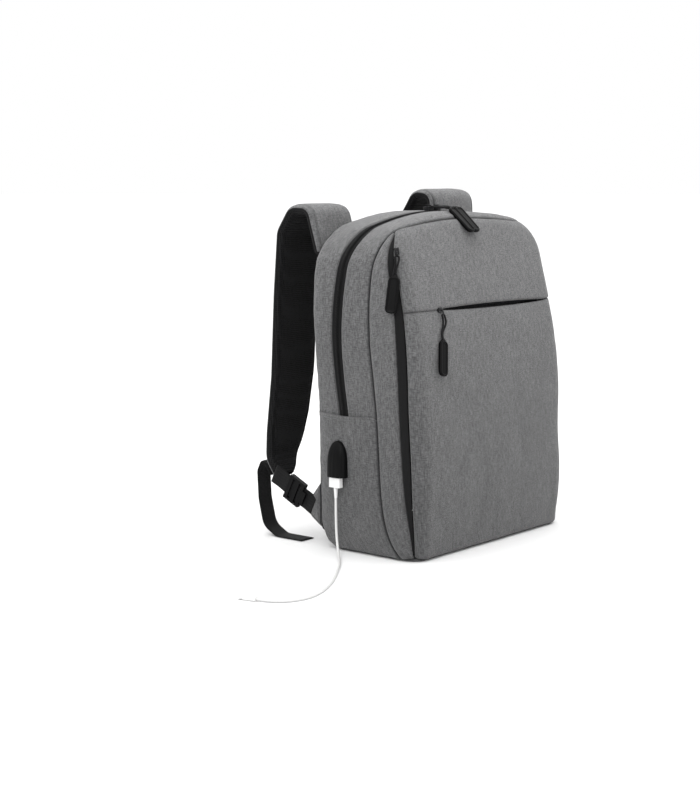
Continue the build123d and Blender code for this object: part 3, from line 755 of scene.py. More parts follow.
def build_front():
    """The folded front panel, the pocket under it and the corner's panel and zip strip."""
    top = girth(seam_y, TIP_Z, 372)
    left = np.concatenate([left_side(strip_front_y, SLIT_MID, 366), top[:1]])
    right = right_side(seam_y, SLIT_MID, 372)
    def lift(p, d):
        return 1.2 * np.exp(-d["left"].reshape(-1) / 22) + 1.0 * np.exp(-d["bottom"].reshape(-1) / 14)

    upper, upper_grid, upper_normal = panel(
        "front_panel_upper", {"bottom": front_row(SLIT_MID, 3.0), "top": top, "left": left, "right": right},
        54, 120, {"bottom": "fold", "left": "fold", "top": "seam", "right": "seam"},
        puff=1.6, wrinkle=0.9, seed=4, lift=lift, skirt=4)
    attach(upper, "front_section")
    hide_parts("upper_front_panel")

    bottom = np.concatenate([[(-150, -70.5, BASE_Z)], straight((-128, -71, BASE_Z), (128, -71, BASE_Z), 80),
                             [(148, -66, BASE_Z)], [(151, -52, BASE_Z)]])
    lift = lambda p, d: 0.7 * np.exp(-d["left"].reshape(-1) / 20)
    lower, _, _ = panel(
        "front_panel_lower",
        {"bottom": bottom, "top": front_row(SLIT_MID, -3.0), "left": left_side(strip_front_y, BASE_Z, SLIT_MID),
         "right": right_side(seam_y, BASE_Z, SLIT_MID)},
        96, 110, {"bottom": "seam", "left": "fold", "top": "fold", "right": "seam"},
        puff=1.6, wrinkle=1.3, seed=9, lift=lift, skirt=4)
    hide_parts("front_pocket_panel", "lower_front_panel")
    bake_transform(lower)

    tip = top[0] + (0, -0.6, -0.6)
    corner, _, _ = panel(
        "corner_panel_left",
        {"bottom": straight((-151, -52, BASE_Z), (-151, -69.5, BASE_Z)), "left": left_side(seam_y, BASE_Z, 376),
         "right": np.concatenate([left_side(strip_rear_y, BASE_Z, 364), [tip]]),
         "top": np.array([left_side(seam_y, 375, 376)[-1], tip])},
        110, 20, {"bottom": "seam", "left": "seam", "right": "fold", "top": "seam"},
        puff=1.2, wrinkle=0.8, seed=15)
    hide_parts("corner_panel", "lower_corner_panel")
    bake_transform(corner)

    strip, _, _ = panel(
        "corner_zip_strip",
        {"bottom": straight((-151, -67.5, BASE_Z), (-149, -72.5, BASE_Z)),
         "left": np.concatenate([left_side(strip_rear_y, BASE_Z, 362, -1.2), [tip + (-1, -0.8, -2)]]),
         "right": np.concatenate([left_side(strip_front_y, BASE_Z, 362, 1.5), [tip + (0, -1.2, -1.5)]]),
         "top": np.array([tip + (-1, -0.8, -2), tip + (0, -1.2, -1.5)])},
        110, 10, {"left": "open", "right": "open", "top": "open", "bottom": "open"}, material="tape",
        puff=0, wrinkle=0, level=-1.2, skirt=1.2)
    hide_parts("corner_zip_tape", "lower_corner_zip_tape")
    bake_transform(strip)

    rows = [inset_line(upper_grid, upper_normal, "top", 3.2)]
    stitches("front_panel_topstitch", rows, "thread_grey", "front_section")


def zip_teeth(name, centre, dy, body, level):
    """One row of moulded zip teeth along a seam."""
    fine = resample(onto_bag(centre, level), 1600)
    lengths = np.r_[0, np.cumsum(np.linalg.norm(np.diff(fine, axis=0), axis=1))]
    pitch = 1.9
    count = int(lengths[-1] / pitch)
    at = (np.arange(count) + (0.5 if dy > 0 else 0.0)) * pitch
    points = np.stack([np.interp(at, lengths, fine[:, k]) for k in range(3)], axis=1)
    ahead = np.stack([np.interp(at + 0.5, lengths, fine[:, k]) for k in range(3)], axis=1) - points
    ahead /= np.maximum(np.linalg.norm(ahead, axis=1, keepdims=True), 1e-9)
    up = bag_normal(points)
    across = np.cross(ahead, up)
    across *= np.sign(across[:, 1:2] * dy + 1e-9)
    vertices = []
    faces = []
    for p, t, n, s in zip(points, ahead, up, across):
        base = len(vertices)
        for reach, half, low, high in ((0.0, 0.55, -0.3, 0.7), (1.2, 0.62, -0.2, 0.95), (2.6, 0.45, -0.3, 0.3)):
            for a, b in ((-half, low), (half, low), (half * 0.7, high), (-half * 0.7, high)):
                vertices.append(p + s * (reach - 0.35) + t * a + n * b)
        faces += grid_faces(3, 4, base, wrap=True)
        faces.append(tuple(base + i for i in (3, 2, 1, 0)))
        faces.append(tuple(base + 8 + i for i in range(4)))
    piece = mesh_object(name, vertices, faces, "tape")
    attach(piece, body)


def build_gussets():
    """The bands either side of the main zip, its tapes and its teeth."""
    low = FOLD_Z - 9
    specs = [
        ("gusset_front", girth(seam_y, low, low), girth(zip_y, low, low, -ZIP_HALF + 0.6), 22, 260,
         {"left": "open", "right": "open", "bottom": "seam", "top": "fold"}, "heather", "heather_fabric", 1.0, 0.0,
         "front_section", ("front_gusset",)),
        ("gusset_rear", girth(zip_y, low, low, ZIP_HALF - 0.6), girth(constant_y(REAR_Y), low, low), 20, 260,
         {"left": "open", "right": "open", "bottom": "fold", "top": "seam"}, "heather", "heather_fabric", 1.0, 0.0,
         "pack", ("rear_gusset",)),
        ("zip_tape_front", girth(zip_y, low, low, -ZIP_HALF + 0.5), girth(zip_y, low, low, -0.3), 6, 260,
         {"left": "open", "right": "open", "bottom": "open", "top": "open"}, "tape", "zip_tape", 0.0, -1.1,
         "front_section", ("main_zip_tape_front",)),
        ("zip_tape_rear", girth(zip_y, low, low, 0.3), girth(zip_y, low, low, ZIP_HALF - 0.5), 6, 260,
         {"left": "open", "right": "open", "bottom": "open", "top": "open"}, "tape", "zip_tape", 0.0, -1.1,
         "pack", ("main_zip_tape_rear",)),
    ]
    grids = {}
    for name, first, second, rows, columns, sewing, material, slot, puff, level, body, replaced in specs:
        ends = [straight(first[0], second[0], 20), straight(first[-1], second[-1], 20)]
        piece, grid, normal = panel(
            name, {"bottom": first, "top": second, "left": ends[0], "right": ends[1]}, rows, columns, sewing,
            material=material, puff=puff, wrinkle=0.6 if material == "heather" else 0, seed=len(name) + 20,
            level=level, skirt=2.6 if material == "heather" else 1.0)
        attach(piece, body)
        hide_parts(*replaced)
        grids[name] = (grid, normal)
    line = inset_line(*grids["gusset_front"], "top", 2.4)
    stitches("gusset_front_topstitch", [line], "thread_grey", "front_section")
    line = inset_line(*grids["gusset_rear"], "bottom", 2.4)
    stitches("gusset_rear_topstitch", [line], "thread_grey", "pack")
    centre = girth(zip_y, low, low)
    zip_teeth("zip_teeth_front", centre, -1, "front_section", -0.2)
    zip_teeth("zip_teeth_rear", centre, 1, "pack", -0.2)


def build_sides():
    """Side pockets with their slightly slack mouths and hem stitches."""
    for label, flip in (("left", 1), ("right", -1)):
        top = straight((-HALF_WIDTH, float(seam_y(FOLD_Z)[0]), FOLD_Z), (-HALF_WIDTH, REAR_Y, FOLD_Z), 60)
        top[:, 2] -= 2.5 * np.sin(np.linspace(0, np.pi, 60)) - 1.0
        bottom = np.concatenate([straight((-151, -52, BASE_Z), (-151, 46, BASE_Z), 40), [(-151, 61, 10)]])
        rear = np.concatenate([[(-151, 61, 10)], straight((-152, REAR_Y - 1.5, 30), (-HALF_WIDTH, REAR_Y, FOLD_Z), 60)])
        edges = {"bottom": bottom, "top": top, "left": left_side(seam_y, BASE_Z, FOLD_Z + 1), "right": rear}
        if flip < 0:
            edges = {key: curve * (-1, 1, 1) for key, curve in edges.items()}
            edges = {"bottom": edges["bottom"][::-1], "top": edges["top"][::-1],
                     "left": edges["right"], "right": edges["left"]}
        sides = {"left": "seam", "right": "seam", "bottom": "seam", "top": "open"}

        def slack(p, d):
            height = np.clip(p[:, 2] / FOLD_Z, 0, 1)
            free = (1 - np.exp(-d["left"].reshape(-1) / 10)) * (1 - np.exp(-d["right"].reshape(-1) / 10))
            dent = np.zeros(len(p))
            if p[0, 0] < 0:
                dent = 2.6 * np.exp(-((p[:, 1] - 33) / 13) ** 2 - ((p[:, 2] - 146) / 11) ** 2)
            return 4.2 * height ** 1.5 * free - dent
        piece, grid, normal = panel(f"side_pocket_{label}_fabric", edges, 70, 60, sides,
                                    puff=1.3, wrinkle=1.0, seed=31 if flip > 0 else 37, lift=slack, skirt=4)
        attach(piece, "pack")
        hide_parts(f"side_pocket_{label}")
        rows = [inset_line(grid, normal, "top", 4.0)]
        stitches(f"side_pocket_{label}_hem_stitch", rows, "thread_grey", "pack")


def build_back_and_base():
    """The padded back panel and the base."""
    left = left_side(constant_y(REAR_Y), 24, 368)
    right = right_side(constant_y(REAR_Y), 24, 368)
    top = girth(constant_y(REAR_Y), 368, 368)
    bottom = straight((-150, 68, 18), (150, 68, 18), 80)
    piece, _, _ = panel("back_panel_mesh", {"bottom": bottom, "top": top, "left": left, "right": right},
                        90, 76, {side: "seam" for side in ("left", "right", "top", "bottom")},
                        material="mesh", puff=0.6, wrinkle=0.4, seed=44)
    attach(piece, "pack")
    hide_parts("back_panel")

    left = np.concatenate([straight((-150, -70, BASE_Z), (-151, 46, BASE_Z), 50), [(-150, 60, 9), (-150, 67, 17)]])
    front = np.concatenate([[(-150, -70, BASE_Z)], straight((-128, -71, BASE_Z), (128, -71, BASE_Z), 60),
                            [(150, -70, BASE_Z)]])
    piece, _, _ = panel("base_fabric", {"bottom": front, "top": straight((-150, 67, 17), (150, 67, 17)), "left": left,
                                        "right": left * (-1, 1, 1)}, 44, 70,
                        {side: "seam" for side in ("left", "right", "top", "bottom")},
                        puff=0.0, wrinkle=0.0, seed=51)
    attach(piece, "pack")
    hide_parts("base_panel")


# ---- Padded pieces and webbing ------------------------------------------------------------

def round_path(points, radii, step=2.5):
    """Side-view path (y, z) with each corner rounded, as evenly spaced points."""
    points = [np.array(p, float) for p in points]
    out = [points[0]]
    for before, here, after, radius in zip(points, points[1:], points[2:], radii):
        a = (before - here) / np.linalg.norm(before - here)
        b = (after - here) / np.linalg.norm(after - here)
        angle = math.acos(np.clip(a @ b, -1, 1))
        cut = radius / math.tan(angle / 2)
        centre = here + (a + b) / np.linalg.norm(a + b) * radius / math.sin(angle / 2)
        start = here + a * cut
        end = here + b * cut
        for t in np.linspace(0, 1, 14):
            mixed = (start - centre) * math.sin((1 - t) * (math.pi - angle)) + (end - centre) * math.sin(
                t * (math.pi - angle))
            out.append(centre + mixed / max(math.sin(math.pi - angle), 1e-6))
    out.append(points[-1])
    out = np.array(out)
    lengths = np.r_[0, np.cumsum(np.linalg.norm(np.diff(out, axis=0), axis=1))]
    keep = np.r_[True, np.diff(lengths) > 1e-6]
    t = np.linspace(0, lengths[-1], int(lengths[-1] / step) + 1)
    return np.stack([np.interp(t, lengths[keep], out[keep, k]) for k in range(2)], axis=1)


def frames(path):
    """Unit tangents of a path, and the normals that point to its left."""
    tangent = np.gradient(path, axis=0)
    tangent /= np.linalg.norm(tangent, axis=1, keepdims=True)
    return tangent, np.stack([-tangent[:, 1], tangent[:, 0]], axis=1)


def ribbon(name, path, x_low, x_high, thick, material, seed, wave=0.3, columns=12):
    """A flat webbing band that follows a side-view path, with rounded selvedges."""
    _, normal = frames(path)
    vertices = []
    uvs = []
    lengths = np.r_[0, np.cumsum(np.linalg.norm(np.diff(path, axis=0), axis=1))]
    section = []
    for k in range(columns + 1):
        u = -1 + 2 * k / columns
        section.append((u, math.sqrt(max(1 - abs(u) ** 8, 0.05))))
    loop = section + [(u, -h) for u, h in section[::-1]]
    drift = smooth_noise(np.stack([lengths, lengths * 0, lengths * 0], axis=1), 45.0, seed) * wave
    for i, (p, n) in enumerate(zip(path, normal)):
        lo = x_low[i] if np.ndim(x_low) else x_low
        hi = x_high[i] if np.ndim(x_high) else x_high
        for u, h in loop:
            x = (lo + hi) / 2 + u * (hi - lo) / 2
            rise = h * thick / 2 + drift[i] * (1 + 0.6 * u)
            vertices.append((x, p[0] + n[0] * rise, p[1] + n[1] * rise))
            uvs.append((x, lengths[i]))
    faces = grid_faces(len(path), len(loop), wrap=True)
    faces.append(tuple(range(len(loop)))[::-1])
    end = (len(path) - 1) * len(loop)
    faces.append(tuple(end + k for k in range(len(loop))))
    piece = mesh_object(name, vertices, faces, material, uvs)
    return piece


STRAP_HANG = [(147, 300), (152, 200), (160, 130), (161, 98), (149, 77)]
STRAP_POINTS = {
    "left": [(80.5, 353), (96, 403), (122, 404), (141, 376)] + STRAP_HANG,
    "right": [(80.5, 353), (93, 419), (117, 421), (138, 384)] + STRAP_HANG,
}
STRAP_RADII = [12, 14, 20, 60, 60, 60, 30]
STRAP_INNER = ([72, 85, 113, 127, 151, 214, 430], [122, 108, 91, 85, 80, 76, 75])
TAIL_POINTS = [(158, 77), (172, 97), (180, 80), (178, 45), (170, 12), (150, 1.2), (108, 1.2)]
TAIL_RADII = [4, 8, 30, 20, 12]


def strap_edges(path, side_sign):
    """Distances of a strap's two edges from the middle of the bag, along its path."""
    inner = np.interp(path[:, 1], *STRAP_INNER)
    outer = np.full(len(path), 150.0)
    if side_sign > 0:
        arch = np.clip((path[:, 1] - 335) / 75, 0, 1)
        outer += 26 * arch * arch * (3 - 2 * arch)
        inner += 9 * arch
    return inner, outer


def strap_half(name, path, flip, side_sign, material, seed):
    """One face of a padded strap, from its binding to its crowned middle."""
    _, normal = frames(path)
    inner, outer = strap_edges(path, side_sign)
    lengths = np.r_[0, np.cumsum(np.linalg.norm(np.diff(path, axis=0), axis=1))]
    nose = np.sqrt(np.clip((lengths[-1] - lengths) / 20.0, 0, 1))
    crowd = crowd_edges(27, 0.6)
    vertices = []
    uvs = []
    dark = []
    for i, (p, n) in enumerate(zip(path, normal)):
        middle = (inner[i] + outer[i]) / 2
        half = (outer[i] - inner[i]) / 2 * (0.80 + 0.20 * nose[i])
        for t in crowd:
            u = 2 * t - 1
            crown = 5.0 * (1 - abs(u) ** 7) ** 0.5
            d = half * (1 - abs(u))
            crown -= 0.9 * math.exp(-((d - 5.0) / 0.8) ** 2)
            x = side_sign * (middle + u * half)
            vertices.append((x, p[0] + n[0] * flip * crown, p[1] + n[1] * flip * crown))
            uvs.append((x, lengths[i]))
            # painted shade along the stitched groove 5 mm in from the strap's edge
            dark.append(0.7 * math.exp(-((d - 5.0) / 0.7) ** 2))
    vertices = np.array(vertices)
    wave = smooth_noise(vertices, 42.0, seed) * 0.5 + smooth_noise(vertices, 17.0, seed + 1) * 0.2
    shift = np.repeat(normal * flip, 27, axis=0) * wave[:, None]
    edge = np.tile(np.minimum(1, 8 * crowd * (1 - crowd)), len(path))
    vertices[:, 1:] += shift * edge[:, None]
    faces = grid_faces(len(path), 27)
    if flip * side_sign > 0:
        faces = [f[::-1] for f in faces]
    piece = mesh_object(name, vertices, faces, material, uvs, dark)
    thick = piece.modifiers.new("thickness", "SOLIDIFY")
    thick.thickness = 0.0012
    thick.offset = -1
    apply_modifiers(piece)
    return piece, path, inner, outer


def apply_modifiers(piece):
    """Turns a piece's modifiers into its mesh."""
    bpy.context.view_layer.update()
    done = bpy.data.meshes.new_from_object(piece.evaluated_get(bpy.context.evaluated_depsgraph_get()))
    piece.modifiers.clear()
    piece.data = done


def rod(name, points, radius, material, sides=8):
    """A round bead or piping along points in millimetres."""
    points = np.asarray(points, float)
    tangent = np.gradient(points, axis=0)
    tangent /= np.maximum(np.linalg.norm(tangent, axis=1, keepdims=True), 1e-9)
    up = np.array([0.0, 0.0, 1.0])
    if abs(tangent[0] @ up) > 0.9:
        up = np.array([1.0, 0.0, 0.0])
    vertices = []
    for p, t in zip(points, tangent):
        side = np.cross(t, up)
        side /= np.linalg.norm(side)
        up = np.cross(side, t)
        for k in range(sides):
            a = 2 * math.pi * k / sides
            vertices.append(p + radius * (side * math.cos(a) + up * math.sin(a)))
    faces = grid_faces(len(points), sides, wrap=True)
    faces.append(tuple(range(sides))[::-1])
    end = (len(points) - 1) * sides
    faces.append(tuple(end + k for k in range(sides)))
    piece = mesh_object(name, vertices, faces, material)
    return piece


def build_straps():
    """Padded shoulder straps, their bindings and webbing tails."""
    for label, sign in (("left", -1), ("right", 1)):
        body = f"strap_{label}"
        path = round_path(STRAP_POINTS[label], STRAP_RADII)
        cover, _, inner, outer = strap_half(
            f"strap_{label}_cover_fabric", path, 1, sign, "heather", 61)
        pad, _, _, _ = strap_half(f"strap_{label}_mesh_pad", path, -1, sign, "mesh", 67)
        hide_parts(f"strap_{label}_cover")
        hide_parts(f"strap_{label}_mesh", f"strap_{label}_foam")
        lengths = np.r_[0, np.cumsum(np.linalg.norm(np.diff(path, axis=0), axis=1))]
        nose = np.sqrt(np.clip((lengths[-1] - lengths) / 20.0, 0, 1))
        middle = (inner + outer) / 2
        half = (outer - inner) / 2 * (0.80 + 0.20 * nose)
        loop = [(sign * (m + h), p[0], p[1]) for p, m, h in zip(path, middle, half)]
        back = [(sign * (m - h), p[0], p[1]) for p, m, h in zip(path, middle, half)][::-1]
        binding = rod(f"strap_{label}_binding", resample(np.array(loop + back), 420), 1.7, "tape")
        for piece in (cover, pad):
            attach(piece, body)
        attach(binding, body)

        tail_path = round_path(TAIL_POINTS, TAIL_RADII, 3.0)
        x = sorted((sign * 125.0, sign * 149.0))
        tail = ribbon(f"webbing_tail_{label}_band", tail_path, x[0], x[1], 1.8, "webbing", 71, 0.0)
        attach(tail, body)
        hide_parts(f"webbing_tail_{label}")


def build_hood():
    """Rubber hood over the charging port, with a centre ridge and a rim sewn to the pocket."""
    rows, columns = 46, 45
    vertices = []
    for v in np.linspace(0, 1, rows):
        z = 91 + 43 * v
        half = 13.4 * (1 - max(0, (v - 0.42) / 0.58) ** 2.3) ** 0.5 if v < 1 else 0.0
        half = max(half, 0.4)
        for u in np.linspace(-1, 1, columns):
            bend = math.sin(u * math.pi / 2)
            dome = (1 - abs(bend) ** 4) ** 0.5
            height = 2.2 + 9.4 * dome * (1 - 0.8 * v ** 3.4)
            height += 0.7 * math.exp(-(bend * half / 1.1) ** 2) * (1 - v)
            height -= 0.8 * math.exp(-((abs(bend) - 0.86) / 0.07) ** 2) * (1 - v ** 3)
            vertices.append((-160.6 - min(height, 11.8), 37.5 + bend * half, z))
    faces = grid_faces(rows, columns)
    base = len(vertices)
    ring = ([(0, c) for c in range(columns)] + [(r, columns - 1) for r in range(1, rows)]
            + [(rows - 1, c) for c in range(columns - 2, -1, -1)] + [(r, 0) for r in range(rows - 2, 0, -1)])
    index = [r * columns + c for r, c in ring]
    for i in index:
        vertices.append((-160.0, vertices[i][1], vertices[i][2]))
    for k in range(len(index)):
        n = (k + 1) % len(index)
        faces.append((index[n], index[k], base + k, base + n))
    hood = mesh_object("port_hood", vertices, [f[::-1] for f in faces], "rubber")
    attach(hood, "pack")
    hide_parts("usb_hood")


# ---- Charging lead ------------------------------------------------------------------------

CABLE_POINTS = [
    (-0.1665, 0.0375, 0.066), (-0.1665, 0.0375, 0.040), (-0.170, 0.033, 0.015), (-0.183, 0.019, 0.0016),
    (-0.211, -0.006, 0.0016), (-0.243, -0.029, 0.0016), (-0.279, -0.053, 0.0016), (-0.316, -0.072, 0.0016),
    (-0.348, -0.081, 0.0016), (-0.375, -0.073, 0.0016), (-0.388, -0.056, 0.0016), (-0.391, -0.043, 0.0022),
]


def build_cable():
    """Thin white charging lead from the plug down to the floor and out to its connector."""
    data = bpy.data.curves.new("charging_lead", "CURVE")
    data.dimensions = "3D"
    line = data.splines.new("NURBS")
    line.points.add(len(CABLE_POINTS) - 1)
    for point, at in zip(line.points, CABLE_POINTS):
        point.co = (*at, 1.0)
    line.order_u = 3
    line.use_endpoint_u = True
    line.resolution_u = 12
    data.bevel_depth = CABLE_D / 2 * MM
    data.bevel_resolution = 6
    data.use_fill_caps = True
    data.materials.append(MATERIALS["cable"])
    lead = bpy.data.objects.new("charging_lead", data)
    bpy.context.collection.objects.link(lead)
    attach(lead, "pack")
    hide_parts("charging_cable")


# ---- CAD nodes that keep their shape ------------------------------------------------------

NODE_FINISH = {
    "white": ["usb_plug", "phone_connector"],
        "plastic": ["ladder_lock_left", "ladder_lock_right", "usb_socket", "base_board"],
    "slider": ["main_slider_left", "main_slider_right"],
    "tape": ["front_zip_tapes"],
    "lining": ["front_pocket_lining", "laptop_sleeve"],
    "heather": ["lower_side_left", "lower_side_right"],
}


def finish_nodes():
    """Gives the CAD nodes that stay visible their materials."""
    for finish, names in NODE_FINISH.items():
        for name in names:
            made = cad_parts[name]
            for slot in made.material_slots:
                slot.material = MATERIALS[finish]
            if not made.material_slots:
                made.data.materials.append(MATERIALS[finish])


# ---- Studio -------------------------------------------------------------------------------

def area_light(name, at, target, size, power):
    """A soft square light aimed at a point."""
    data = bpy.data.lights.new(name, "AREA")
    data.shape = "SQUARE"
    data.size = size
    data.energy = power
    light = bpy.data.objects.new(name, data)
    light.location = at
    light.rotation_euler = (Vector(target) - Vector(at)).to_track_quat("-Z", "Y").to_euler()
    bpy.context.collection.objects.link(light)


def build_studio():
    """Plain pale floor and soft light."""
    rim = 64
    vertices = [(0, 0, 0)]
    for radius in (2000, 12000, 60000):
        vertices += [(radius * math.cos(2 * math.pi * k / rim), radius * math.sin(2 * math.pi * k / rim), 0)
                     for k in range(rim)]
    faces = [(0, 1 + k, 1 + (k + 1) % rim) for k in range(rim)]
    for ring in range(2):
        for k in range(rim):
            a = 1 + ring * rim
            n = (k + 1) % rim
            faces.append((a + k, a + rim + k, a + rim + n, a + n))
    material, tree, shader = new_material("studio_floor")
    cloud = noise_value(tree, coordinates(tree, (0.8, 0.8, 0.8), False), 1.0, 2.0)
    colour = mix_colour(tree, cloud, (0.70, 0.70, 0.70, 1), (0.72, 0.72, 0.72, 1))
    tree.links.new(colour, shader.inputs["Base Color"])
    shader.inputs["Roughness"].default_value = 0.9
    MATERIALS["floor"] = material
    floor = mesh_object("studio_floor", vertices, faces, "floor")
    world = bpy.data.worlds.new("studio")
    world.use_nodes = True
    tree = world.node_tree
    place = node(tree, "ShaderNodeTexCoord")
    split = node(tree, "ShaderNodeSeparateXYZ")
    tree.links.new(place.outputs["Generated"], split.inputs[0])
    height = ramp(tree, split.outputs["Z"], 0.12, 0.95)
    background = tree.nodes["Background"]
    tree.links.new(mix_colour(tree, height, (1.0, 1.0, 1.0, 1), (2.0, 2.0, 2.0, 1)), background.inputs[0])
    background.inputs[1].default_value = 1.0
    bpy.context.scene.world = world
    area_light("key", (-2.3, -1.0, 1.9), (0, 0, 0.2), 1.6, 26)
    area_light("top", (0.2, 0.2, 2.4), (0, 0, 0.3), 1.4, 16)
    bpy.context.scene.view_settings.view_transform = "Standard"


# ---- Zip pulls ----------------------------------------------------------------------------

def rounded_ring(half_width, half_length, corner, count=40):
    """Points (x, z) round a rectangle with rounded corners."""
    points = []
    for quarter, (sx, sz) in enumerate(((1, 1), (-1, 1), (-1, -1), (1, -1))):
        for k in range(count // 4):
            a = math.pi / 2 * (quarter + k / (count / 4 - 1))
            points.append((sx * (half_width - corner) + corner * math.cos(a),
                           sz * (half_length - corner) + corner * math.sin(a)))
    return points


def grip_mesh(name, place):
    """Soft rubber grip with a raised rim, a sunk face, and a collar where the cord enters."""
    width, length = 6.75, 21.0
    levels = [(2.6, 3.4), (1.0, 2.5), (0.0, 1.2), (0.0, -1.3), (0.7, -2.3), (1.3, -2.5), (1.9, -2.3),
              (2.3, -1.5), (3.4, -1.35), (5.4, -1.5)]
    vertices = []
    for inset, y in levels:
        ring = rounded_ring(width - inset, length - inset, max(5.2 - inset, 1.2))
        vertices += [(x, y * 0.95, z - length) for x, z in ring]
    faces = [f[::-1] for f in grid_faces(len(levels), 40, wrap=True)]
    faces.append(tuple(range(40)))
    faces.append(tuple(len(vertices) - 40 + k for k in range(40))[::-1])
    base = len(vertices)
    for y_half, x_half, z in ((1.6, 3.4, -3.0), (1.7, 3.2, 0.6), (1.3, 2.4, 2.0)):
        vertices += [(x, y, z) for x, y in rounded_ring(x_half, y_half, 1.2, 16)]
    faces += [f[::-1] for f in grid_faces(3, 16, base, wrap=True)]
    faces.append(tuple(base + 32 + k for k in range(16))[::-1])
    points = [place @ Vector(p) for p in vertices]
    piece = mesh_object(name, points, faces, "rubber")
    return piece


def build_pulls():
    """Corded pulls of the four sliders: two runs of cord, then a rubber grip."""
    def turn(axis, degrees):
        return Matrix.Rotation(math.radians(degrees), 4, axis)

    specs = []
    for label, x, arc, sway in (("left", -7.5, 420, -3.0), ("right", 7.5, 800, 2.0)):
        seat = (Matrix.Translation((0, 23, HEIGHT - arc)) @ turn("Y", math.degrees(math.asin(x / arc)))
                @ Matrix.Translation((0, 0, arc + 0.7)))
        place = seat @ Matrix.Translation((0, -6.6, 5.2)) @ turn("X", -86.5) @ turn("Y", sway)
        nodes = (f"main_pull_cord_{label}", f"main_pull_grip_{label}")
        specs.append((f"main_pull_{label}", place, 26, 38, 0.8, nodes))
    place = Matrix.Translation((-149, -39, 350.5)) @ turn("Y", 11) @ turn("Z", -62)
    specs.append(("corner_pull", place, 22, 0, 0.6, ("corner_pull_cord", "corner_pull_grip")))
    place = Matrix.Translation((-92, -63, 282)) @ turn("X", -12.5) @ turn("Y", 16)
    specs.append(("front_pull", place, 30, 0, 2.2, ("front_pull_cord", "front_pull_grip")))
    for name, place, drop, droop, bend, nodes in specs:
        tilt = Matrix.Translation((0, 0, -drop)) @ turn("X", droop)
        grip = grip_mesh(f"{name}_grip_rubber", place @ tilt)
        path = []
        for t in np.linspace(0, 1, 26):
            across = 2.4 - 1.0 * math.sin(math.pi * t) + 0.35 * math.sin(7 * t)
            x = -across * (1 - 0.35 * t) + bend * math.sin(2 * math.pi * t)
            path.append((x, 0.5 * math.sin(5 * t), -drop * t))
        loop = [(2.4 * math.cos(a), 0, 1.6 * math.sin(a)) for a in np.linspace(math.pi, 0, 9)]
        back = [(-x + 2 * bend * math.sin(2 * math.pi * -z / drop), -y, z) for x, y, z in path]
        line = path[::-1] + loop[1:-1] + back
        points = [place @ Vector(p) for p in line]
        cord = rod(f"{name}_cord_loop", resample(np.array(points), 90), 1.15, "cord")
        for piece in (grip, cord):
            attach(piece, name)
        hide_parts(nodes[1])
        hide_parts(nodes[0])


def small_slider(name, body, place, hang):
    """Small zip slider with a wire bail towards hang: nose along X, out of the zip along -Y."""
    vertices = []
    for inset, rise in ((0.9, 0.0), (0.0, 0.8), (0.0, 2.6), (0.9, 3.5), (2.0, 3.8)):
        vertices += [(x, -rise, z) for x, z in rounded_ring(4.4 - inset, 2.9 - inset * 0.8, 1.2, 24)]
    faces = grid_faces(5, 24, wrap=True)
    faces.append(tuple(range(24))[::-1])
    faces.append(tuple(len(vertices) - 24 + k for k in range(24)))
    case = mesh_object(f"{name}_body", [place @ Vector(p) for p in vertices], faces, "slider")
    bail = [Vector((0, -3.8 - 2.4 * math.sin(a), 0)) + Vector(hang) * 3.2 * (1 - math.cos(a))
            for a in np.linspace(0, math.pi, 14)]
    loop = rod(f"{name}_bail", np.array([place @ p for p in bail]), 0.75, "slider")
    for piece in (case, loop):
        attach(piece, body)
    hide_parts(name)


def build_small_sliders():
    """Sliders in the mouth of the front pocket and at the top of the corner zip."""
    small_slider("front_slider", "front_slider", Matrix.Translation((-92, -56.6, 288.4)), (0, 0, -1))
    turned = Matrix.Rotation(math.radians(-45), 4, "Z") @ Matrix.Rotation(math.radians(82), 4, "Y")
    turned = Matrix.Translation((-145.2, -35.2, 357.5)) @ turned
    small_slider("corner_slider", "corner_slider", turned, (1, 0, 0))


# ---- Back pads, yoke, handle and adjusters ------------------------------------------------

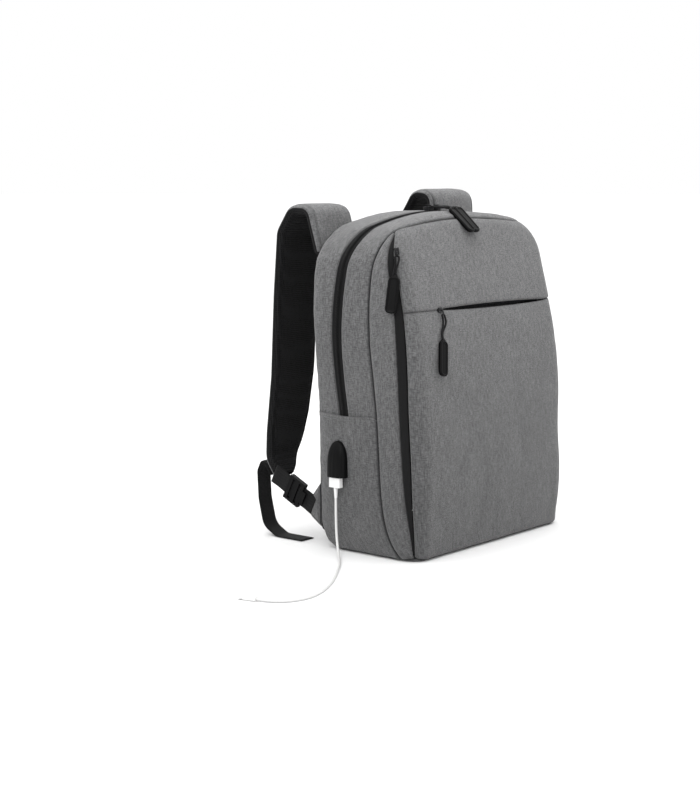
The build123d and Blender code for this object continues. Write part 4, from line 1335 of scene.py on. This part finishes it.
def pad_mesh(name, low, high, material, lobes=()):
    """Closed crowned pad on the back panel, swollen by simulation, then quilted with channels."""
    rows = max(12, int((high[1] - low[1]) / 4))
    columns = max(12, int((high[0] - low[0]) / 4))
    vertices = []
    for side in (1, 0):
        for v in np.linspace(-1, 1, rows):
            for u in np.linspace(-1, 1, columns):
                crown = (1 - abs(u) ** 5) ** 0.5 * (1 - abs(v) ** 8) ** 0.5
                x = (low[0] + high[0]) / 2 + u * (high[0] - low[0]) / 2
                z = (low[1] + high[1]) / 2 + v * (high[1] - low[1]) / 2
                vertices.append((x, 75.2 + side * (0.6 + 6.0 * crown), z))
    faces = grid_faces(rows, columns)
    base = rows * columns
    faces = [f[::-1] for f in faces] + grid_faces(rows, columns, base)
    ring = ([(0, c) for c in range(columns)] + [(r, columns - 1) for r in range(1, rows)]
            + [(rows - 1, c) for c in range(columns - 2, -1, -1)] + [(r, 0) for r in range(rows - 2, 0, -1)])
    index = [r * columns + c for r, c in ring]
    for k, i in enumerate(index):
        j = index[(k + 1) % len(index)]
        faces.append((i, j, base + j, base + i))
    pad = mesh_object(name, vertices, faces, material)
    inflate(pad, voxel=0.004, cap=0.0035)
    points = np.array([v.co for v in pad.data.vertices]) / MM
    front = points[:, 1] > 76
    shade = np.zeros(len(points))
    edge = np.minimum(np.minimum(points[:, 0] - low[0], high[0] - points[:, 0]),
                      np.minimum(points[:, 2] - low[1], high[1] - points[:, 2]))
    groove = np.exp(-((edge - 8.0) / 2.2) ** 2)
    for z in lobes:
        groove = np.maximum(groove, np.exp(-((points[:, 2] - z) / 2.6) ** 2) * np.clip((edge - 4) / 4, 0, 1))
    points[:, 1] -= np.where(front, 2.6 * groove, 0)
    points[:, 1] = np.clip(points[:, 1], 75.1, 85.5)
    shade = np.where(front, 0.8 * groove, 0)
    pad.data.vertices.foreach_set("co", (points * MM).astype(np.float32).ravel())
    attribute = pad.data.attributes.new("seam", "FLOAT", "POINT")
    attribute.data.foreach_set("value", shade.astype(np.float32))
    pad.data.polygons.foreach_set("use_smooth", [True] * len(pad.data.polygons))
    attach(pad, "pack")
    return pad


def inflate(piece, voxel, cap):
    """Remeshes a closed piece, swells it with a cloth simulation and caps how far it moves."""
    remesh = piece.modifiers.new("remesh", "REMESH")
    remesh.mode = "VOXEL"
    remesh.voxel_size = voxel
    material = piece.data.materials[0]
    apply_modifiers(piece)
    start = np.array([v.co for v in piece.data.vertices])
    cloth = piece.modifiers.new("cloth", "CLOTH")
    cloth.settings.use_pressure = True
    cloth.settings.uniform_pressure_force = 4.0
    cloth.settings.effector_weights.gravity = 0.0
    cloth.settings.quality = 5
    scene = bpy.context.scene
    for step in range(1, 21):
        scene.frame_set(step)
    evaluated = piece.evaluated_get(bpy.context.evaluated_depsgraph_get())
    moved = np.array([v.co for v in evaluated.data.vertices])
    shift = moved - start
    reach = np.linalg.norm(shift, axis=1, keepdims=True)
    shift *= np.minimum(1, cap / np.maximum(reach, 1e-9))
    piece.modifiers.clear()
    scene.frame_set(1)
    piece.data.vertices.foreach_set("co", (start + shift).astype(np.float32).ravel())
    smooth = piece.modifiers.new("smooth", "SUBSURF")
    smooth.levels = 1
    smooth.render_levels = 1
    apply_modifiers(piece)
    if not piece.data.materials:
        piece.data.materials.append(material)


def build_back():
    """Padding on the back, the yoke that the straps are sewn under, and the handle."""
    pads = [
        pad_mesh("back_pad_left", (-118, 112), (-20, 337), "mesh", (187, 262)),
        pad_mesh("back_pad_right", (20, 112), (118, 337), "mesh", (187, 262)),
        pad_mesh("back_pad_lumbar", (-118, 40), (118, 104), "mesh"),
    ]
    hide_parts("back_pads")

    rows, columns = 16, 60
    vertices = []
    uvs = []
    dark = []
    for v in np.linspace(0, 1, rows):
        for u in np.linspace(-1, 1, columns):
            x = u * (118 - 3 * v)
            z = 341 + 38 * v
            edge = min(118 - abs(x), (z - 341) * 1.0 + 0.01, 379.01 - z)
            vertices.append((x, 75.4 + 2.2 * (1 - math.exp(-edge / 2.5)) + 0.25 * math.sin(x / 9), z))
            uvs.append((x, z))
            # painted shade of a seam groove 5 mm in from the yoke's edge
            dark.append(0.7 * math.exp(-((edge - 5) / 0.8) ** 2))
    faces = [f[::-1] for f in grid_faces(rows, columns)]
    yoke = mesh_object("yoke_fabric", vertices, faces, "heather", uvs, dark)
    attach(yoke, "pack")
    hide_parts("shoulder_yoke")

    drop = round_path([(-42, 378), (-38, 346), (38, 346), (42, 378)], [14, 14], 2.0)
    _, normal = frames(drop)
    section = []
    for k in range(20):
        a = 2 * math.pi * k / 20
        c, d = math.cos(a), math.sin(a)
        section.append((7.0 * math.copysign(abs(c) ** 0.45, c), 2.5 * math.copysign(abs(d) ** 0.6, d)))
    vertices = []
    uvs = []
    lengths = np.r_[0, np.cumsum(np.linalg.norm(np.diff(drop, axis=0), axis=1))]
    for p, n, run in zip(drop, normal, lengths):
        for across, out in section:
            vertices.append((p[0] + n[0] * out, 86.5 + across, p[1] + n[1] * out))
            uvs.append((across, run))
    faces = grid_faces(len(drop), 20, wrap=True)
    faces.append(tuple(range(20))[::-1])
    faces.append(tuple((len(drop) - 1) * 20 + k for k in range(20)))
    handle = mesh_object("carry_handle_webbing", vertices, faces, "webbing", uvs)
    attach(handle, "carry_handle")
    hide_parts("carry_handle")


def flat_band(name, start, end, x, width, thick, material, sign, seed):
    """Webbing that runs flat against the bag's side, between two side-view points."""
    start = np.array(start, float)
    end = np.array(end, float)
    along = (end - start) / np.linalg.norm(end - start)
    across = np.array([-along[1], along[0]])
    rows, columns = 26, 12
    vertices = []
    uvs = []
    for t in np.linspace(0, 1, rows):
        p = start + (end - start) * t
        ripple = 0.35 * math.sin(4 * math.pi * t + seed)
        loop = [(-1 + 2 * k / columns, 1) for k in range(columns + 1)]
        loop += [(u, -1) for u, _ in loop[::-1]]
        for u, face in loop:
            q = p + across * u * width / 2
            rim = math.sqrt(max(1 - abs(u) ** 8, 0.06))
            vertices.append((sign * (x + face * thick / 2 * rim + ripple), q[0], q[1]))
            uvs.append((u * width / 2, t * np.linalg.norm(end - start)))
    faces = grid_faces(rows, len(loop), wrap=True)
    faces.append(tuple(range(len(loop)))[::-1])
    faces.append(tuple((rows - 1) * len(loop) + k for k in range(len(loop))))
    piece = mesh_object(name, vertices, faces, material, uvs)
    return piece


def build_adjusters():
    """Webbing from the sewn corner tab through the ladder lock to the strap's end."""
    rise = np.array([math.cos(math.radians(26)), math.sin(math.radians(26))])
    lock = np.array([113.5, 63.5])
    for label, sign in (("left", -1), ("right", 1)):
        lower = flat_band(f"lower_webbing_{label}_band", lock - rise * 34, lock + rise * 8, 153.0, 24, 1.7, "webbing",
                          sign, 1.0)
        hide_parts(f"lower_webbing_{label}")
        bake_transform(lower)
        upper = flat_band(f"strap_{label}_end_band", lock - rise * 9, lock + rise * 39.5, 150.9, 24, 1.7, "webbing",
                          sign, 2.0)
        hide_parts(f"strap_{label}_end_webbing")
        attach(upper, f"strap_{label}")

        corners = [(72, 80), (86, 62), (95, 43), (88, 35), (72, 24)]
        outline = resample(np.array([(0, y, z) for y, z in corners + corners[:1]]), 60)[:-1, 1:]
        middle = np.array([80.0, 52.0])
        vertices = []
        dark = []
        shares = (1.0, 0.97, 0.86, 0.80, 0.4, 0.02)
        for face in (1, -1):
            for share in shares:
                for p in outline:
                    q = middle + (p - middle) * share
                    puff = 2.4 * (1 - share ** 6) - (0.7 if share == 0.86 else 0)
                    vertices.append((sign * (151.2 + face * (0.5 + puff)), q[0], q[1]))
                    # painted shade in the stitched groove round the tab
                    dark.append(0.9 if share == 0.86 else 0.0)
        count = len(outline)
        faces = grid_faces(len(shares), count, wrap=True)
        base = len(shares) * count
        faces += [f[::-1] for f in grid_faces(len(shares), count, base, wrap=True)]
        for k in range(count):
            n = (k + 1) % count
            faces.append((n, k, base + k, base + n))
        tab = mesh_object(f"anchor_tab_{label}_fabric", vertices, faces, "heather",
                          [(v[1], v[2]) for v in vertices], dark)
        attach(tab, "pack")
        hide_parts(f"anchor_tab_{label}")


build_camera()
build_cable()
build_front()
build_gussets()
build_sides()
build_back_and_base()
build_straps()
build_hood()
build_pulls()
build_small_sliders()
build_back()
build_adjusters()
finish_nodes()
build_studio()
